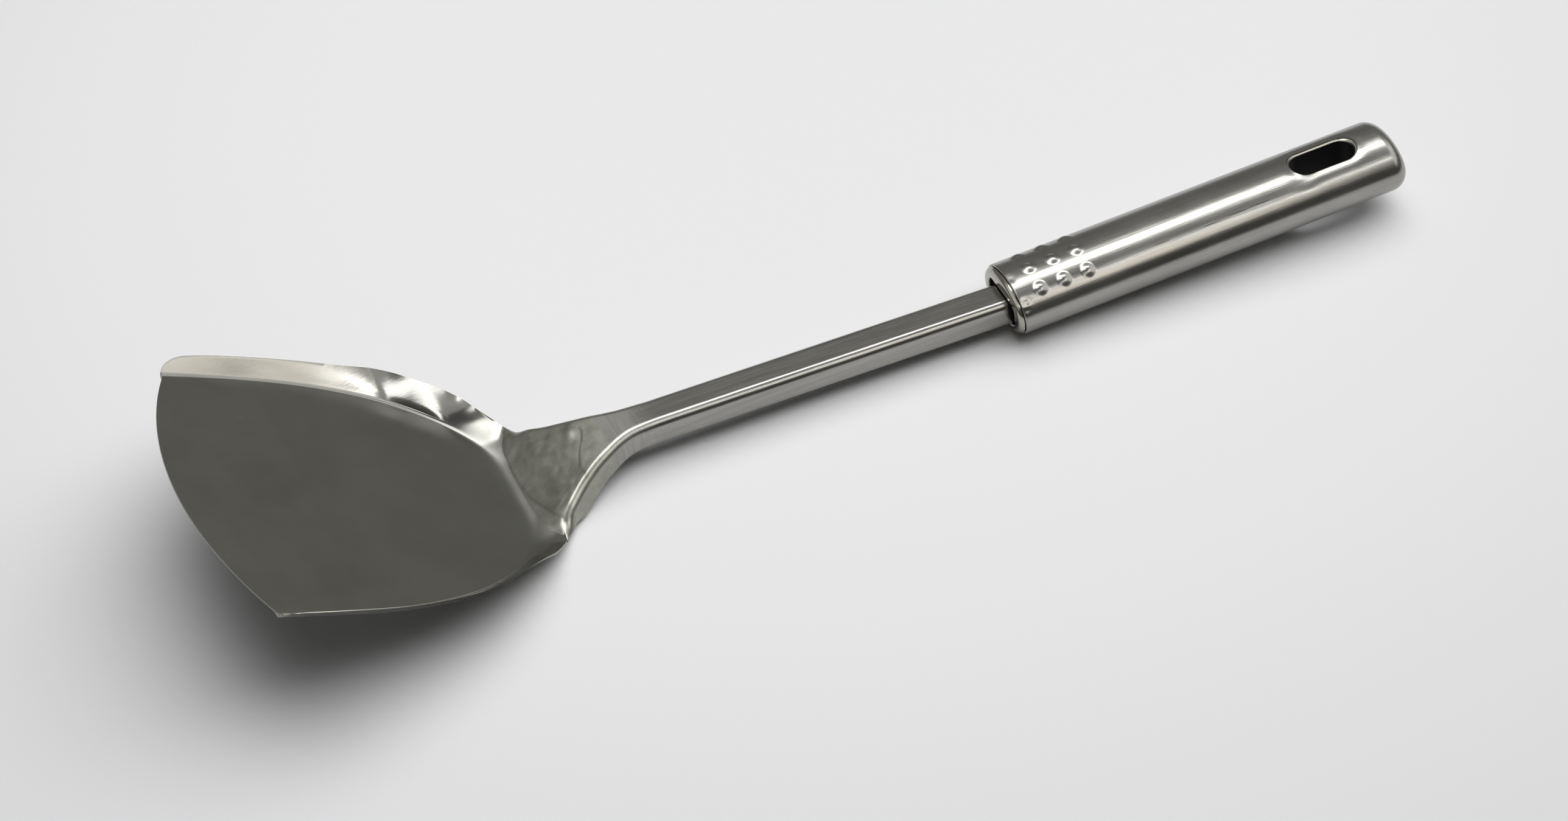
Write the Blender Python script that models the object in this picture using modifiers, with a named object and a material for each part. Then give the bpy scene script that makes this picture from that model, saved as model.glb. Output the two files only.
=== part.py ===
"""Serving spatula of the wok turner kind, all stainless steel, as separate pieces in metres.

The pieces are modelled in the tool's own frame: X runs forward along the handle's axis from the
seam between collar and tube, Y is across, Z is up. One empty tips that frame until the tool rests
on the tube's front rim and the heel of the blade, the way it lies on a table.
"""
from math import asin, atan2, cos, pi, radians, sin, sqrt, tan

import bmesh
import bpy
from mathutils import Matrix, Vector

# Clearances
TOUCH_GAP = 0.0003
CUT_OVERRUN = 0.004
MERGE_DISTANCE = 0.00001

# Handle tube, an upright oval lying on its broad side
HANDLE_WIDTH = 0.025
HANDLE_HEIGHT = 0.0176
HANDLE_LENGTH = 0.123
TUBE_WALL = 0.0006
TUBE_RIM_RADIUS = 0.0004

# Grip bumps: rows around the tube, columns along it
BUMP_ROWS = 3
BUMP_COLUMNS = 3
BUMP_ROW_ANGLE = radians(37)
BUMP_PITCH = 0.00735
FIRST_BUMP_BACK = 0.0073
BUMP_DIAMETER = 0.0047
BUMP_HEIGHT = 0.0006
BUMP_SINK = 0.0003

# End cap
CAP_EDGE_RADIUS = 0.0047
CAP_EDGE_TURN = radians(78)
CAP_DOME_RISE = 0.00073
CAP_WALL = 0.0008

# Hanging slot and its liner
SLOT_LENGTH = 0.0216
SLOT_WIDTH = 0.010
SLOT_END_MARGIN = 0.0118
LINER_WALL = 0.0008
LINER_LIP = 0.0007
LINER_LIP_THICKNESS = 0.0009

# Front collar
COLLAR_STEP = 0.0004
COLLAR_REACH = 0.0017
COLLAR_EDGE_RADIUS = 0.002
COLLAR_WALL = 0.0008
COLLAR_SKIRT = 0.0065
OPENING_WIDTH = 0.016
OPENING_HEIGHT = 0.0083
OPENING_CORNER = 0.003
OPENING_DROP = 0.0002

# Tang plug
PLUG_LENGTH = 0.032
PLUG_FACE_SETBACK = 0.0006

# Shank: a channel, open below, that climbs gently towards the blade
SHANK_WIDTH = 0.0109
SHANK_HEIGHT = 0.0071
SHANK_CORNER = 0.00255
SHANK_SHEET = 0.0012
SHANK_CLIMB = radians(3.41)
SHANK_TOP_AT_SEAM = 0.00314
TANG_LENGTH = 0.030

# Blade
HEEL_REACH = 0.1486
HEEL_DROP = 0.00195
BLADE_TILT = radians(28)
BLADE_LENGTH = 0.0879
BLADE_WIDTH = 0.0993
BLADE_FRONT_BOW = 0.0119
BLADE_SHEET = 0.0009
BLADE_BEND_RADIUS = 0.0026
BLADE_OUTLINE_POWER = 2.49
BLADE_REAR_CUT = 0.00091
RIM_HEIGHT = 0.0072
RIM_CORNER_SHARE = 0.04
RIM_CORNER_START = 0.35
WALL_MIDDLE_SHARE = 0.6
REAR_WALL_ANGLE = radians(50.3)
TAB_LENGTH = 0.017
TAB_FOOT = 0.003

# Neck: where the shank dips and flares over the blade's tab
NECK_BEND_RADIUS = 0.050
NECK_LENGTH = 0.0398
NECK_WIDTH = 0.0378
TONGUE_SETBACK = 0.0018
TONGUE_EDGE_THICKNESS = 0.0006
TONGUE_GROUND_LENGTH = 0.005

# Weld bead along the tongue's front edge
WELD_RADIUS = 0.00045

# Rim of the blade, half of it, from the front corner round to the notch. Each row holds the share of
# the bend's length, then the rim's place as shares of blade length, half width and rim height.
rim_shares = [
    (0.000, 1.000, 1.079, 0.490),
    (0.128, 0.832, 1.079, 0.600),
    (0.246, 0.676, 1.064, 0.635),
    (0.335, 0.557, 1.042, 0.670),
    (0.431, 0.430, 1.000, 0.735),
    (0.528, 0.301, 0.938, 0.900),
    (0.611, 0.200, 0.835, 1.000),
    (0.681, 0.115, 0.738, 0.990),
    (0.752, 0.024, 0.631, 0.790),
    (0.808, -0.044, 0.517, 0.647),
]
# Tab behind the notch: share of the bend's length, of the tab's length and of the blade's half width.
tab_shares = [
    (0.835, 0.424, 0.358),
    (0.865, 0.582, 0.282),
    (0.895, 0.712, 0.256),
    (0.920, 0.840, 0.245),
    (0.955, 1.000, 0.205),
    (1.000, 1.000, 0.000),
]
# Neck from the shank to the tongue's front edge: share of the neck's length, of its half width, of
# the side's full depth and of its full fold.
neck_shares = [
    (0.000, 0.288, 1.00, 1.00),
    (0.193, 0.317, 1.00, 1.00),
    (0.296, 0.370, 1.00, 1.00),
    (0.410, 0.466, 1.00, 1.00),
    (0.523, 0.569, 1.00, 1.00),
    (0.646, 0.709, 1.00, 1.00),
    (0.714, 0.804, 0.98, 1.00),
    (0.749, 0.862, 0.93, 1.00),
    (0.789, 0.926, 0.80, 1.00),
    (0.815, 0.960, 0.62, 1.00),
    (0.834, 0.974, 0.42, 1.00),
    (0.849, 0.972, 0.20, 0.50),
    (0.864, 0.958, 0.12, 0.03),
    (0.879, 0.931, 0.12, 0.03),
    (0.917, 0.820, 0.12, 0.03),
    (0.940, 0.698, 0.12, 0.03),
    (0.970, 0.487, 0.12, 0.03),
    (0.990, 0.317, 0.12, 0.03),
    (1.000, 0.265, 0.12, 0.03),
]

# Counts
RING_STEPS = 48
RING_TURN = 0.5
BEND_STEPS = 4
RIM_STATIONS = 22
NECK_BEND_STEPS = 3
FRONT_EDGE_STEPS = 10
CORNER_STEPS = 6
DOME_STEPS = 4
OUTLINE_SAMPLES = 400
WELD_STATIONS = 4
SHARP_ANGLE = radians(32)

# Derived sizes
TUBE_HALF_WIDTH = HANDLE_WIDTH / 2
TUBE_HALF_HEIGHT = HANDLE_HEIGHT / 2
SKIRT_INSET = TUBE_WALL + TOUCH_GAP
CAP_LENGTH = CAP_EDGE_RADIUS * sin(CAP_EDGE_TURN) + CAP_DOME_RISE
TUBE_LENGTH = HANDLE_LENGTH - CAP_LENGTH - TOUCH_GAP
SLOT_CENTRE = -(HANDLE_LENGTH - SLOT_END_MARGIN - SLOT_LENGTH / 2)
HALF_BLADE = BLADE_WIDTH / 2
NECK_SLOPE = REAR_WALL_ANGLE - BLADE_TILT
NECK_END = HEEL_REACH - TONGUE_SETBACK
NECK_START = NECK_END - NECK_LENGTH


def remove_everything():
    """Empty the file of objects, so that the part starts clean."""
    for item in list(bpy.data.objects):
        bpy.data.objects.remove(item, do_unlink=True)


def make_collection(name):
    collection = bpy.data.collections.new(name)
    bpy.context.scene.collection.children.link(collection)
    return collection


def make_material(name, colour, metallic, roughness):
    material = bpy.data.materials.new(name)
    material.use_nodes = True
    shader = material.node_tree.nodes["Principled BSDF"]
    shader.inputs["Base Color"].default_value = (*colour, 1.0)
    shader.inputs["Metallic"].default_value = metallic
    shader.inputs["Roughness"].default_value = roughness
    material.diffuse_color = (*colour, 1.0)
    return material


def add_object(name, mesh, collection, parent, material=None):
    item = bpy.data.objects.new(name, mesh)
    collection.objects.link(item)
    item.parent = parent
    if material is not None:
        mesh.materials.append(material)
    return item


def finish(item):
    """Turn a piece and its modifiers into one mesh, shaded smooth between its sharp edges."""
    bpy.context.view_layer.update()
    depsgraph = bpy.context.evaluated_depsgraph_get()
    shaped = bpy.data.meshes.new_from_object(item.evaluated_get(depsgraph))
    shaped.name = item.name
    item.modifiers.clear()
    item.data = shaped
    shaped.shade_smooth()
    shaped.set_sharp_from_angle(angle=SHARP_ANGLE)


def add_cutter(name, mesh, collection, parent):
    cutter = add_object(name, mesh, collection, parent)
    cutter.hide_render = True
    cutter.display_type = "WIRE"
    return cutter


def add_boolean(item, cutter, operation):
    modifier = item.modifiers.new(f"{operation.lower()} {cutter.name}", "BOOLEAN")
    modifier.operation = operation
    modifier.object = cutter
    modifier.solver = "EXACT"
    return modifier


def oval_ring(forward, inset):
    """Ring across X as its place along X and its half width and half height, set in from the tube's skin."""
    return forward, TUBE_HALF_WIDTH - inset, TUBE_HALF_HEIGHT - inset


def tube_height(across, inset):
    """Height of the tube's skin, or of the oval set in from it, at a distance from the middle."""
    _, half_width, half_height = oval_ring(0, inset)
    return half_height * sqrt(1 - (across / half_width) ** 2)


def arc_rings(forward, inset, radius, start, end, steps):
    """Oval rings round an edge; its centre's place and inset are given, and angles from straight out."""
    rings = []
    for step in range(steps + 1):
        angle = start + (end - start) * step / steps
        rings.append(oval_ring(forward + radius * sin(angle), inset - radius * cos(angle)))
    return rings


def add_lofted(name, rings, collection, parent, material):
    """Closed skin over oval rings in order; a first and last ring of no size close it, or it runs round."""
    shape = bmesh.new()
    grid = []
    for forward, half_width, half_height in rings:
        if half_width < MERGE_DISTANCE:
            grid.append([shape.verts.new((forward, 0, 0))] * RING_STEPS)
            continue
        angles = [2 * pi * (step + RING_TURN) / RING_STEPS for step in range(RING_STEPS)]
        grid.append([shape.verts.new((forward, half_width * sin(a), half_height * cos(a))) for a in angles])
    if rings[0][1] >= MERGE_DISTANCE:
        grid.append(grid[0])
    for row, following in zip(grid, grid[1:]):
        for k in range(RING_STEPS):
            after = (k + 1) % RING_STEPS
            corners = dict.fromkeys((row[k], row[after], following[after], following[k]))
            shape.faces.new(tuple(corners))
    bmesh.ops.recalc_face_normals(shape, faces=list(shape.faces))
    return add_object(name, mesh_from(shape, name), collection, parent, material)


def rounded_outline(length, width, corner, steps=CORNER_STEPS):
    """Outline of a rectangle with round corners, centred; a corner of half the width rounds its ends."""
    points = []
    for quarter, (side_x, side_y) in enumerate([(1, 1), (-1, 1), (-1, -1), (1, -1)]):
        centre = Vector((side_x * (length / 2 - corner), side_y * (width / 2 - corner)))
        for step in range(steps + 1):
            angle = (quarter + step / steps) * pi / 2
            points.append(centre + corner * Vector((cos(angle), sin(angle))))
    return points


def prism_bmesh(outline, low, high):
    """Closed prism of a flat outline between two heights on Z."""
    shape = bmesh.new()
    corners = [shape.verts.new((x, y, low)) for x, y in outline]
    bmesh.ops.remove_doubles(shape, verts=corners, dist=MERGE_DISTANCE)
    bottom = bmesh.ops.contextual_create(shape, geom=list(shape.verts))["faces"]
    if not bottom:
        bottom = [shape.faces.new(shape.verts)]
    raised = bmesh.ops.extrude_face_region(shape, geom=bottom)
    top = [part for part in raised["geom"] if isinstance(part, bmesh.types.BMVert)]
    bmesh.ops.translate(shape, vec=(0, 0, high - low), verts=top)
    bmesh.ops.recalc_face_normals(shape, faces=list(shape.faces))
    return shape


def mesh_from(shape, name):
    mesh = bpy.data.meshes.new(name)
    shape.to_mesh(mesh)
    shape.free()
    return mesh


def smooth_curve(rows, places):
    """Catmull-Rom curve through rows of (place, values...), read at each of the places."""
    found = []
    for place in places:
        index = max(i for i in range(len(rows) - 1) if rows[i][0] <= place or i == 0)
        before = rows[max(index - 1, 0)]
        start = rows[index]
        end = rows[index + 1]
        after = rows[min(index + 2, len(rows) - 1)]
        span = end[0] - start[0]
        t = (place - start[0]) / span
        values = []
        for k in range(1, len(start)):
            slope_in = (end[k] - before[k]) / (end[0] - before[0]) * span
            slope_out = (after[k] - start[k]) / (after[0] - start[0]) * span
            values.append(
                (2 * t**3 - 3 * t**2 + 1) * start[k] + (t**3 - 2 * t**2 + t) * slope_in
                + (3 * t**2 - 2 * t**3) * end[k] + (t**3 - t**2) * slope_out
            )
        found.append(values)
    return found


def make_handle_tube(collection, cutters, tool, material):
    """Oval tube with a rolled front rim, raised grip bumps and a slot through both walls."""
    rim = TUBE_RIM_RADIUS
    rings = arc_rings(-rim, rim, rim, pi / 2, 0, BEND_STEPS)
    rings += [oval_ring(-TUBE_LENGTH, 0), oval_ring(-TUBE_LENGTH, TUBE_WALL), oval_ring(0, TUBE_WALL)]
    tube = add_lofted("handle_tube", rings, collection, tool, material)

    shape = bmesh.new()
    half = BUMP_DIAMETER / 2
    for row in range(BUMP_ROWS):
        turn = (row - (BUMP_ROWS - 1) / 2) * BUMP_ROW_ANGLE
        lean = atan2(sin(turn) / TUBE_HALF_WIDTH, cos(turn) / TUBE_HALF_HEIGHT)
        for column in range(BUMP_COLUMNS):
            dome = bmesh.ops.create_uvsphere(shape, u_segments=16, v_segments=8, radius=1)["verts"]
            for vertex in dome:
                height = BUMP_HEIGHT + BUMP_SINK if vertex.co.z > 0 else BUMP_SINK / 2
                vertex.co = Vector((vertex.co.x * half, vertex.co.y * half, vertex.co.z * height - BUMP_SINK))
            back = -FIRST_BUMP_BACK - column * BUMP_PITCH
            place = Matrix.Translation((back, TUBE_HALF_WIDTH * sin(turn), TUBE_HALF_HEIGHT * cos(turn)))
            bmesh.ops.transform(shape, matrix=place @ Matrix.Rotation(-lean, 4, "X"), verts=dome)
    bumps = add_cutter("bump_domes", mesh_from(shape, "bump_domes"), cutters, tool)
    add_boolean(tube, bumps, "UNION")

    outline = rounded_outline(SLOT_LENGTH, SLOT_WIDTH, SLOT_WIDTH / 2)
    reach = TUBE_HALF_HEIGHT + CUT_OVERRUN
    shape = prism_bmesh(outline, -reach, reach)
    slot = add_cutter("slot_cutter", mesh_from(shape, "slot_cutter"), cutters, tool)
    slot.location.x = SLOT_CENTRE
    add_boolean(tube, slot, "DIFFERENCE")
    finish(tube)


def make_end_cap(collection, tool, material):
    """Pressed cap that closes the tube's rear end, slightly domed, with a rounded edge."""
    edge = CAP_LENGTH - HANDLE_LENGTH

    def skin(wall):
        rings = arc_rings(edge, CAP_EDGE_RADIUS, CAP_EDGE_RADIUS - wall, 0, -CAP_EDGE_TURN, BEND_STEPS)
        last, half_width, half_height = rings[-1]
        middle = wall - HANDLE_LENGTH
        for step in range(1, DOME_STEPS + 1):
            share = 1 - step / DOME_STEPS
            rings.append((middle + (last - middle) * share**2, half_width * share, half_height * share))
        return rings

    add_lofted("end_cap", list(reversed(skin(0))) + skin(CAP_WALL), collection, tool, material)


def make_front_collar(collection, cutters, tool, material):
    """Bright cap in the tube's front end: a round nose, a skirt inside the tube and a wide opening."""
    shoulder = COLLAR_REACH - COLLAR_EDGE_RADIUS
    start = asin((TOUCH_GAP - shoulder) / COLLAR_EDGE_RADIUS)
    nose = COLLAR_STEP + COLLAR_EDGE_RADIUS
    rings = [(COLLAR_REACH, 0, 0)]
    rings += arc_rings(shoulder, nose, COLLAR_EDGE_RADIUS, pi / 2, start, CORNER_STEPS)
    rings += [oval_ring(TOUCH_GAP, SKIRT_INSET), oval_ring(-COLLAR_SKIRT, SKIRT_INSET)]
    bore = SKIRT_INSET + COLLAR_WALL
    inner_radius = COLLAR_EDGE_RADIUS - COLLAR_WALL
    rings.append(oval_ring(-COLLAR_SKIRT, bore))
    rings += arc_rings(shoulder, bore + inner_radius, inner_radius, 0, pi / 2, CORNER_STEPS)
    rings.append((COLLAR_REACH - COLLAR_WALL, 0, 0))
    collar = add_lofted("front_collar", rings, collection, tool, material)

    outline = rounded_outline(OPENING_HEIGHT, OPENING_WIDTH, OPENING_CORNER)
    shape = prism_bmesh(outline, 0, COLLAR_REACH + CUT_OVERRUN)
    bmesh.ops.rotate(shape, matrix=Matrix.Rotation(pi / 2, 3, "Y"), verts=list(shape.verts))
    opening = add_cutter("opening_cutter", mesh_from(shape, "opening_cutter"), cutters, tool)
    opening.location.z = -OPENING_DROP
    add_boolean(collar, opening, "DIFFERENCE")
    finish(collar)


def make_tang_plug(collection, cutters, tool, material):
    """Black plug that fills the tube's front end, stepped to fit the collar's skirt, with a tang hole."""
    face = TOUCH_GAP - PLUG_FACE_SETBACK
    small = SKIRT_INSET + COLLAR_WALL + TOUCH_GAP
    step = -COLLAR_SKIRT - TOUCH_GAP
    rear = face - PLUG_LENGTH
    rings = [(face, 0, 0), oval_ring(face, small), oval_ring(step, small)]
    rings += [oval_ring(step, SKIRT_INSET), oval_ring(rear, SKIRT_INSET), (rear, 0, 0)]
    plug = add_lofted("tang_plug", rings, collection, tool, material)

    size = (2 * PLUG_LENGTH + CUT_OVERRUN, SHANK_WIDTH + 2 * TOUCH_GAP, SHANK_HEIGHT + 2 * TOUCH_GAP)
    shape = bmesh.new()
    bmesh.ops.create_cube(shape, size=1)
    bmesh.ops.scale(shape, vec=size, verts=list(shape.verts))
    hole = add_cutter("tang_cutter", mesh_from(shape, "tang_cutter"), cutters, tool)
    hole.location.z = SHANK_TOP_AT_SEAM - SHANK_HEIGHT / 2 / cos(SHANK_CLIMB)
    hole.rotation_euler.y = -SHANK_CLIMB
    add_boolean(plug, hole, "DIFFERENCE")
    finish(plug)


def make_slot_liner(collection, cutters, tool, material):
    """Black lining of the hanging slot: a straight tunnel with a lip under each tube wall."""
    length = SLOT_LENGTH - 2 * TOUCH_GAP
    width = SLOT_WIDTH - 2 * TOUCH_GAP
    lip_width = width + 2 * LINER_LIP
    lip_top = tube_height(lip_width / 2, TUBE_WALL) - TOUCH_GAP
    top = tube_height(width / 2, 0) - TOUCH_GAP
    body = prism_bmesh(rounded_outline(length, width, width / 2), -top, top)
    liner = add_object("slot_liner", mesh_from(body, "slot_liner"), collection, tool, material)
    liner.location.x = SLOT_CENTRE
    for name, side in (("upper_lip", 1), ("lower_lip", -1)):
        outline = rounded_outline(length + 2 * LINER_LIP, lip_width, lip_width / 2)
        low, high = sorted((side * lip_top, side * (lip_top - LINER_LIP_THICKNESS)))
        lip = add_cutter(name, mesh_from(prism_bmesh(outline, low, high), name), cutters, tool)
        lip.location.x = SLOT_CENTRE
        add_boolean(liner, lip, "UNION")
    outline = rounded_outline(length - 2 * LINER_WALL, width - 2 * LINER_WALL, width / 2 - LINER_WALL)
    reach = TUBE_HALF_HEIGHT + CUT_OVERRUN
    shape = prism_bmesh(outline, -reach, reach)
    tunnel = add_cutter("tunnel_cutter", mesh_from(shape, "tunnel_cutter"), cutters, tool)
    tunnel.location.x = SLOT_CENTRE
    add_boolean(liner, tunnel, "DIFFERENCE")
    finish(liner)


def bend_outline(turn):
    """Point of the bend between floor and wall; turn runs from the front corner to the rear middle."""
    power = 2 / BLADE_OUTLINE_POWER
    full_length = BLADE_LENGTH + BLADE_REAR_CUT
    x = full_length * (1 - sin(turn) ** power) - BLADE_REAR_CUT
    return Vector((max(x, 0), HALF_BLADE * max(cos(turn), 0) ** power, 0))


def bend_points(shares):
    """Points of the bend at shares of its length."""
    fine = [bend_outline(pi / 2 * i / OUTLINE_SAMPLES) for i in range(OUTLINE_SAMPLES + 1)]
    reach = [0]
    for start, end in zip(fine, fine[1:]):
        reach.append(reach[-1] + (end - start).length)
    points = []
    for share in shares:
        wanted = share * reach[-1]
        index = min(max(sum(1 for value in reach if value <= wanted), 1), len(fine) - 1)
        ratio = (wanted - reach[index - 1]) / (reach[index] - reach[index - 1])
        points.append(fine[index - 1].lerp(fine[index], ratio))
    return points


def rim_points():
    """Places along the bend and the rim's point at each, from the front corner to the rear middle."""
    notch = rim_shares[-1][0]
    places = [notch * i / RIM_STATIONS for i in range(RIM_STATIONS)] + [notch]
    places += [RIM_CORNER_SHARE * i / CORNER_STEPS for i in range(1, CORNER_STEPS)]
    places.sort()
    rims = []
    for place, (x, y, z) in zip(places, smooth_curve(rim_shares, places)):
        rims.append((place, Vector((x * BLADE_LENGTH, y * HALF_BLADE, z * RIM_HEIGHT))))
    tab = Vector((-cos(REAR_WALL_ANGLE), 0, sin(REAR_WALL_ANGLE))) * TAB_LENGTH
    for place, reach, side in tab_shares:
        rims.append((place, tab * reach + Vector((0, side * HALF_BLADE, 0))))
    return rims


def blade_rows():
    """Rows of points across bend and wall, each from the floor's edge to the rim or the tab's end."""
    rims = rim_points()
    feet = bend_points([place for place, _ in rims])
    uphill = Vector((-cos(REAR_WALL_ANGLE), 0, sin(REAR_WALL_ANGLE)))
    rows = []
    for (place, rim), foot in zip(rims, feet):
        start = 1 - min(place / RIM_CORNER_SHARE, 1)
        reach = RIM_CORNER_START + (1 - RIM_CORNER_START) * sqrt(1 - start**2)
        rim = foot.lerp(rim, reach)
        if place < rim_shares[-1][0]:
            middle = foot.lerp(rim, WALL_MIDDLE_SHARE)
        else:
            middle = uphill * TAB_FOOT
            middle.y = foot.lerp(rim, TAB_FOOT / rim.length).y
        wall = middle - foot
        flat = Vector((wall.x, wall.y, 0))
        lean = atan2(wall.z, flat.length)
        out = flat.normalized()
        bend = BLADE_BEND_RADIUS * tan(lean / 2)
        row = []
        for step in range(BEND_STEPS + 1):
            angle = lean * step / BEND_STEPS
            along = BLADE_BEND_RADIUS * sin(angle) - bend
            row.append(foot + out * along + Vector((0, 0, BLADE_BEND_RADIUS * (1 - cos(angle)))))
        rows.append(row + [middle, rim])
    return rows


def make_blade(collection, tool, material):
    """Pressed scoop: a flat floor with a bowed front edge, flared walls, and a tab behind."""
    rows = blade_rows()
    shape = bmesh.new()
    grid = [[shape.verts.new(point) for point in row] for row in rows]
    for row, following in zip(grid, grid[1:]):
        for k in range(len(row) - 1):
            shape.faces.new((row[k], row[k + 1], following[k + 1], following[k]))
    corner = rows[0][0]
    bow_radius = (corner.y**2 + BLADE_FRONT_BOW**2) / (2 * BLADE_FRONT_BOW)
    half_angle = asin(corner.y / bow_radius)
    front = []
    for step in range(FRONT_EDGE_STEPS):
        angle = half_angle * step / FRONT_EDGE_STEPS
        forward = corner.x + BLADE_FRONT_BOW - bow_radius * (1 - cos(angle))
        front.append(shape.verts.new((forward, bow_radius * sin(angle), 0)))
    shape.faces.new(front + [row[0] for row in grid])
    bmesh.ops.recalc_face_normals(shape, faces=list(shape.faces))
    if shape.faces[-1].normal.z < 0:
        bmesh.ops.reverse_faces(shape, faces=list(shape.faces))
    blade = add_object("blade", mesh_from(shape, "blade"), collection, tool, material)
    mirror = blade.modifiers.new("other half", "MIRROR")
    mirror.use_axis = (False, True, False)
    mirror.merge_threshold = MERGE_DISTANCE
    sheet = blade.modifiers.new("sheet", "SOLIDIFY")
    sheet.thickness = BLADE_SHEET
    sheet.offset = -1
    sheet.use_even_offset = True
    blade.location = (HEEL_REACH, 0, -HEEL_DROP)
    blade.rotation_euler.y = -BLADE_TILT
    finish(blade)


def neck_line():
    """Lie of the shank's top: two straight lines and the arc between them, as their key points."""
    heel_top = (TOUCH_GAP + SHANK_SHEET) / cos(NECK_SLOPE) - HEEL_DROP
    fall = heel_top + HEEL_REACH * tan(NECK_SLOPE) - SHANK_TOP_AT_SEAM
    corner_x = fall / (tan(SHANK_CLIMB) + tan(NECK_SLOPE))
    corner = Vector((corner_x, SHANK_TOP_AT_SEAM + corner_x * tan(SHANK_CLIMB)))
    tangent = NECK_BEND_RADIUS * tan((SHANK_CLIMB + NECK_SLOPE) / 2)
    start = corner - tangent * Vector((cos(SHANK_CLIMB), sin(SHANK_CLIMB)))
    centre = start + NECK_BEND_RADIUS * Vector((sin(SHANK_CLIMB), -cos(SHANK_CLIMB)))
    end = corner + tangent * Vector((cos(NECK_SLOPE), -sin(NECK_SLOPE)))
    return start, centre, end


def top_line(forward):
    """Height and downward slope of the shank's top at a distance forward of the seam."""
    start, centre, end = neck_line()
    if forward <= start.x:
        return SHANK_TOP_AT_SEAM + forward * tan(SHANK_CLIMB), -SHANK_CLIMB
    if forward >= end.x:
        return end.y - (forward - end.x) * tan(NECK_SLOPE), NECK_SLOPE
    slope = asin((forward - centre.x) / NECK_BEND_RADIUS)
    return centre.y + NECK_BEND_RADIUS * cos(slope), slope


def shank_section(forward, half_width, depth, fold, ground):
    """Half section of the shank across its top, as points from the middle to the side's lower edge."""
    height, slope = top_line(forward)
    down = Vector((-sin(slope), 0, -cos(slope)))
    origin = Vector((forward, 0, height)) + down * ground
    corner = half_width - SHANK_CORNER * sin(fold) - depth * cos(fold)
    points = [origin, origin + Vector((0, corner / 2, 0))]
    for step in range(NECK_BEND_STEPS + 1):
        angle = fold * step / NECK_BEND_STEPS
        across = Vector((0, corner + SHANK_CORNER * sin(angle), 0))
        points.append(origin + across + down * SHANK_CORNER * (1 - cos(angle)))
    points.append(points[-1] + Vector((0, depth * cos(fold), 0)) + down * depth * sin(fold))
    return points


def ground_off(forward):
    """Depth that the polished joint takes off the tongue's top at a distance forward of the seam."""
    share = (forward - NECK_END) / TONGUE_GROUND_LENGTH + 1
    return max(share, 0) ** 2 * (SHANK_SHEET - TONGUE_EDGE_THICKNESS)


def make_shank(collection, tool, material):
    """Channel shank with its tang, its flared neck and the tongue that lies on the blade's tab."""
    full_depth = SHANK_HEIGHT - SHANK_CORNER
    stations = [(forward, SHANK_WIDTH / 2, full_depth, pi / 2) for forward in (-TANG_LENGTH, 0, NECK_START / 2)]
    for share, width, depth, fold in neck_shares:
        forward = NECK_START + share * NECK_LENGTH
        stations.append((forward, width * NECK_WIDTH / 2, depth * full_depth, fold * pi / 2))
    shape = bmesh.new()
    weights = shape.verts.layers.deform.verify()
    grid = []
    for station in stations:
        ground = ground_off(station[0])
        row = [shape.verts.new(point) for point in shank_section(*station, ground)]
        for vertex in row:
            vertex[weights][0] = 1 - ground / SHANK_SHEET
        grid.append(row)
    for row, following in zip(grid, grid[1:]):
        for k in range(len(row) - 1):
            shape.faces.new((row[k], following[k], following[k + 1], row[k + 1]))
    shank = add_object("shank", mesh_from(shape, "shank"), collection, tool, material)
    shank.vertex_groups.new(name="sheet")
    mirror = shank.modifiers.new("other half", "MIRROR")
    mirror.use_axis = (False, True, False)
    mirror.merge_threshold = MERGE_DISTANCE
    sheet = shank.modifiers.new("sheet", "SOLIDIFY")
    sheet.thickness = SHANK_SHEET
    sheet.offset = -1
    sheet.use_even_offset = True
    sheet.vertex_group = "sheet"
    finish(shank)


def make_seam_weld(collection, tool, material):
    """Weld bead that lies on the blade's rear wall along the tongue's front edge."""
    edge = []
    for share, width, _, _ in neck_shares[-WELD_STATIONS:]:
        forward = NECK_START + share * NECK_LENGTH - (TOUCH_GAP + SHANK_SHEET) * sin(NECK_SLOPE)
        edge.append(Vector(((HEEL_REACH - forward) / cos(NECK_SLOPE), width * NECK_WIDTH / 2)))
    edge += [Vector((back, -across)) for back, across in reversed(edge)]
    off = TOUCH_GAP + WELD_RADIUS
    heel = Vector((HEEL_REACH, 0, -HEEL_DROP))
    uphill = Vector((-cos(NECK_SLOPE), 0, sin(NECK_SLOPE)))
    normal = Vector((sin(NECK_SLOPE), 0, cos(NECK_SLOPE)))
    curve = bpy.data.curves.new("seam_weld", "CURVE")
    curve.dimensions = "3D"
    curve.bevel_depth = WELD_RADIUS
    curve.bevel_resolution = 2
    curve.use_fill_caps = True
    spline = curve.splines.new("POLY")
    spline.points.add(len(edge) - 1)
    for index, point in enumerate(spline.points):
        run = edge[min(index + 1, len(edge) - 1)] - edge[max(index - 1, 0)]
        place = edge[index] + Vector((run.y, -run.x)).normalized() * off
        point.co = (*(heel + uphill * place.x + normal * off + Vector((0, place.y, 0))), 1)
    bead = bpy.data.objects.new("seam_weld", curve)
    collection.objects.link(bead)
    bead.parent = tool
    curve.materials.append(material)


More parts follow.
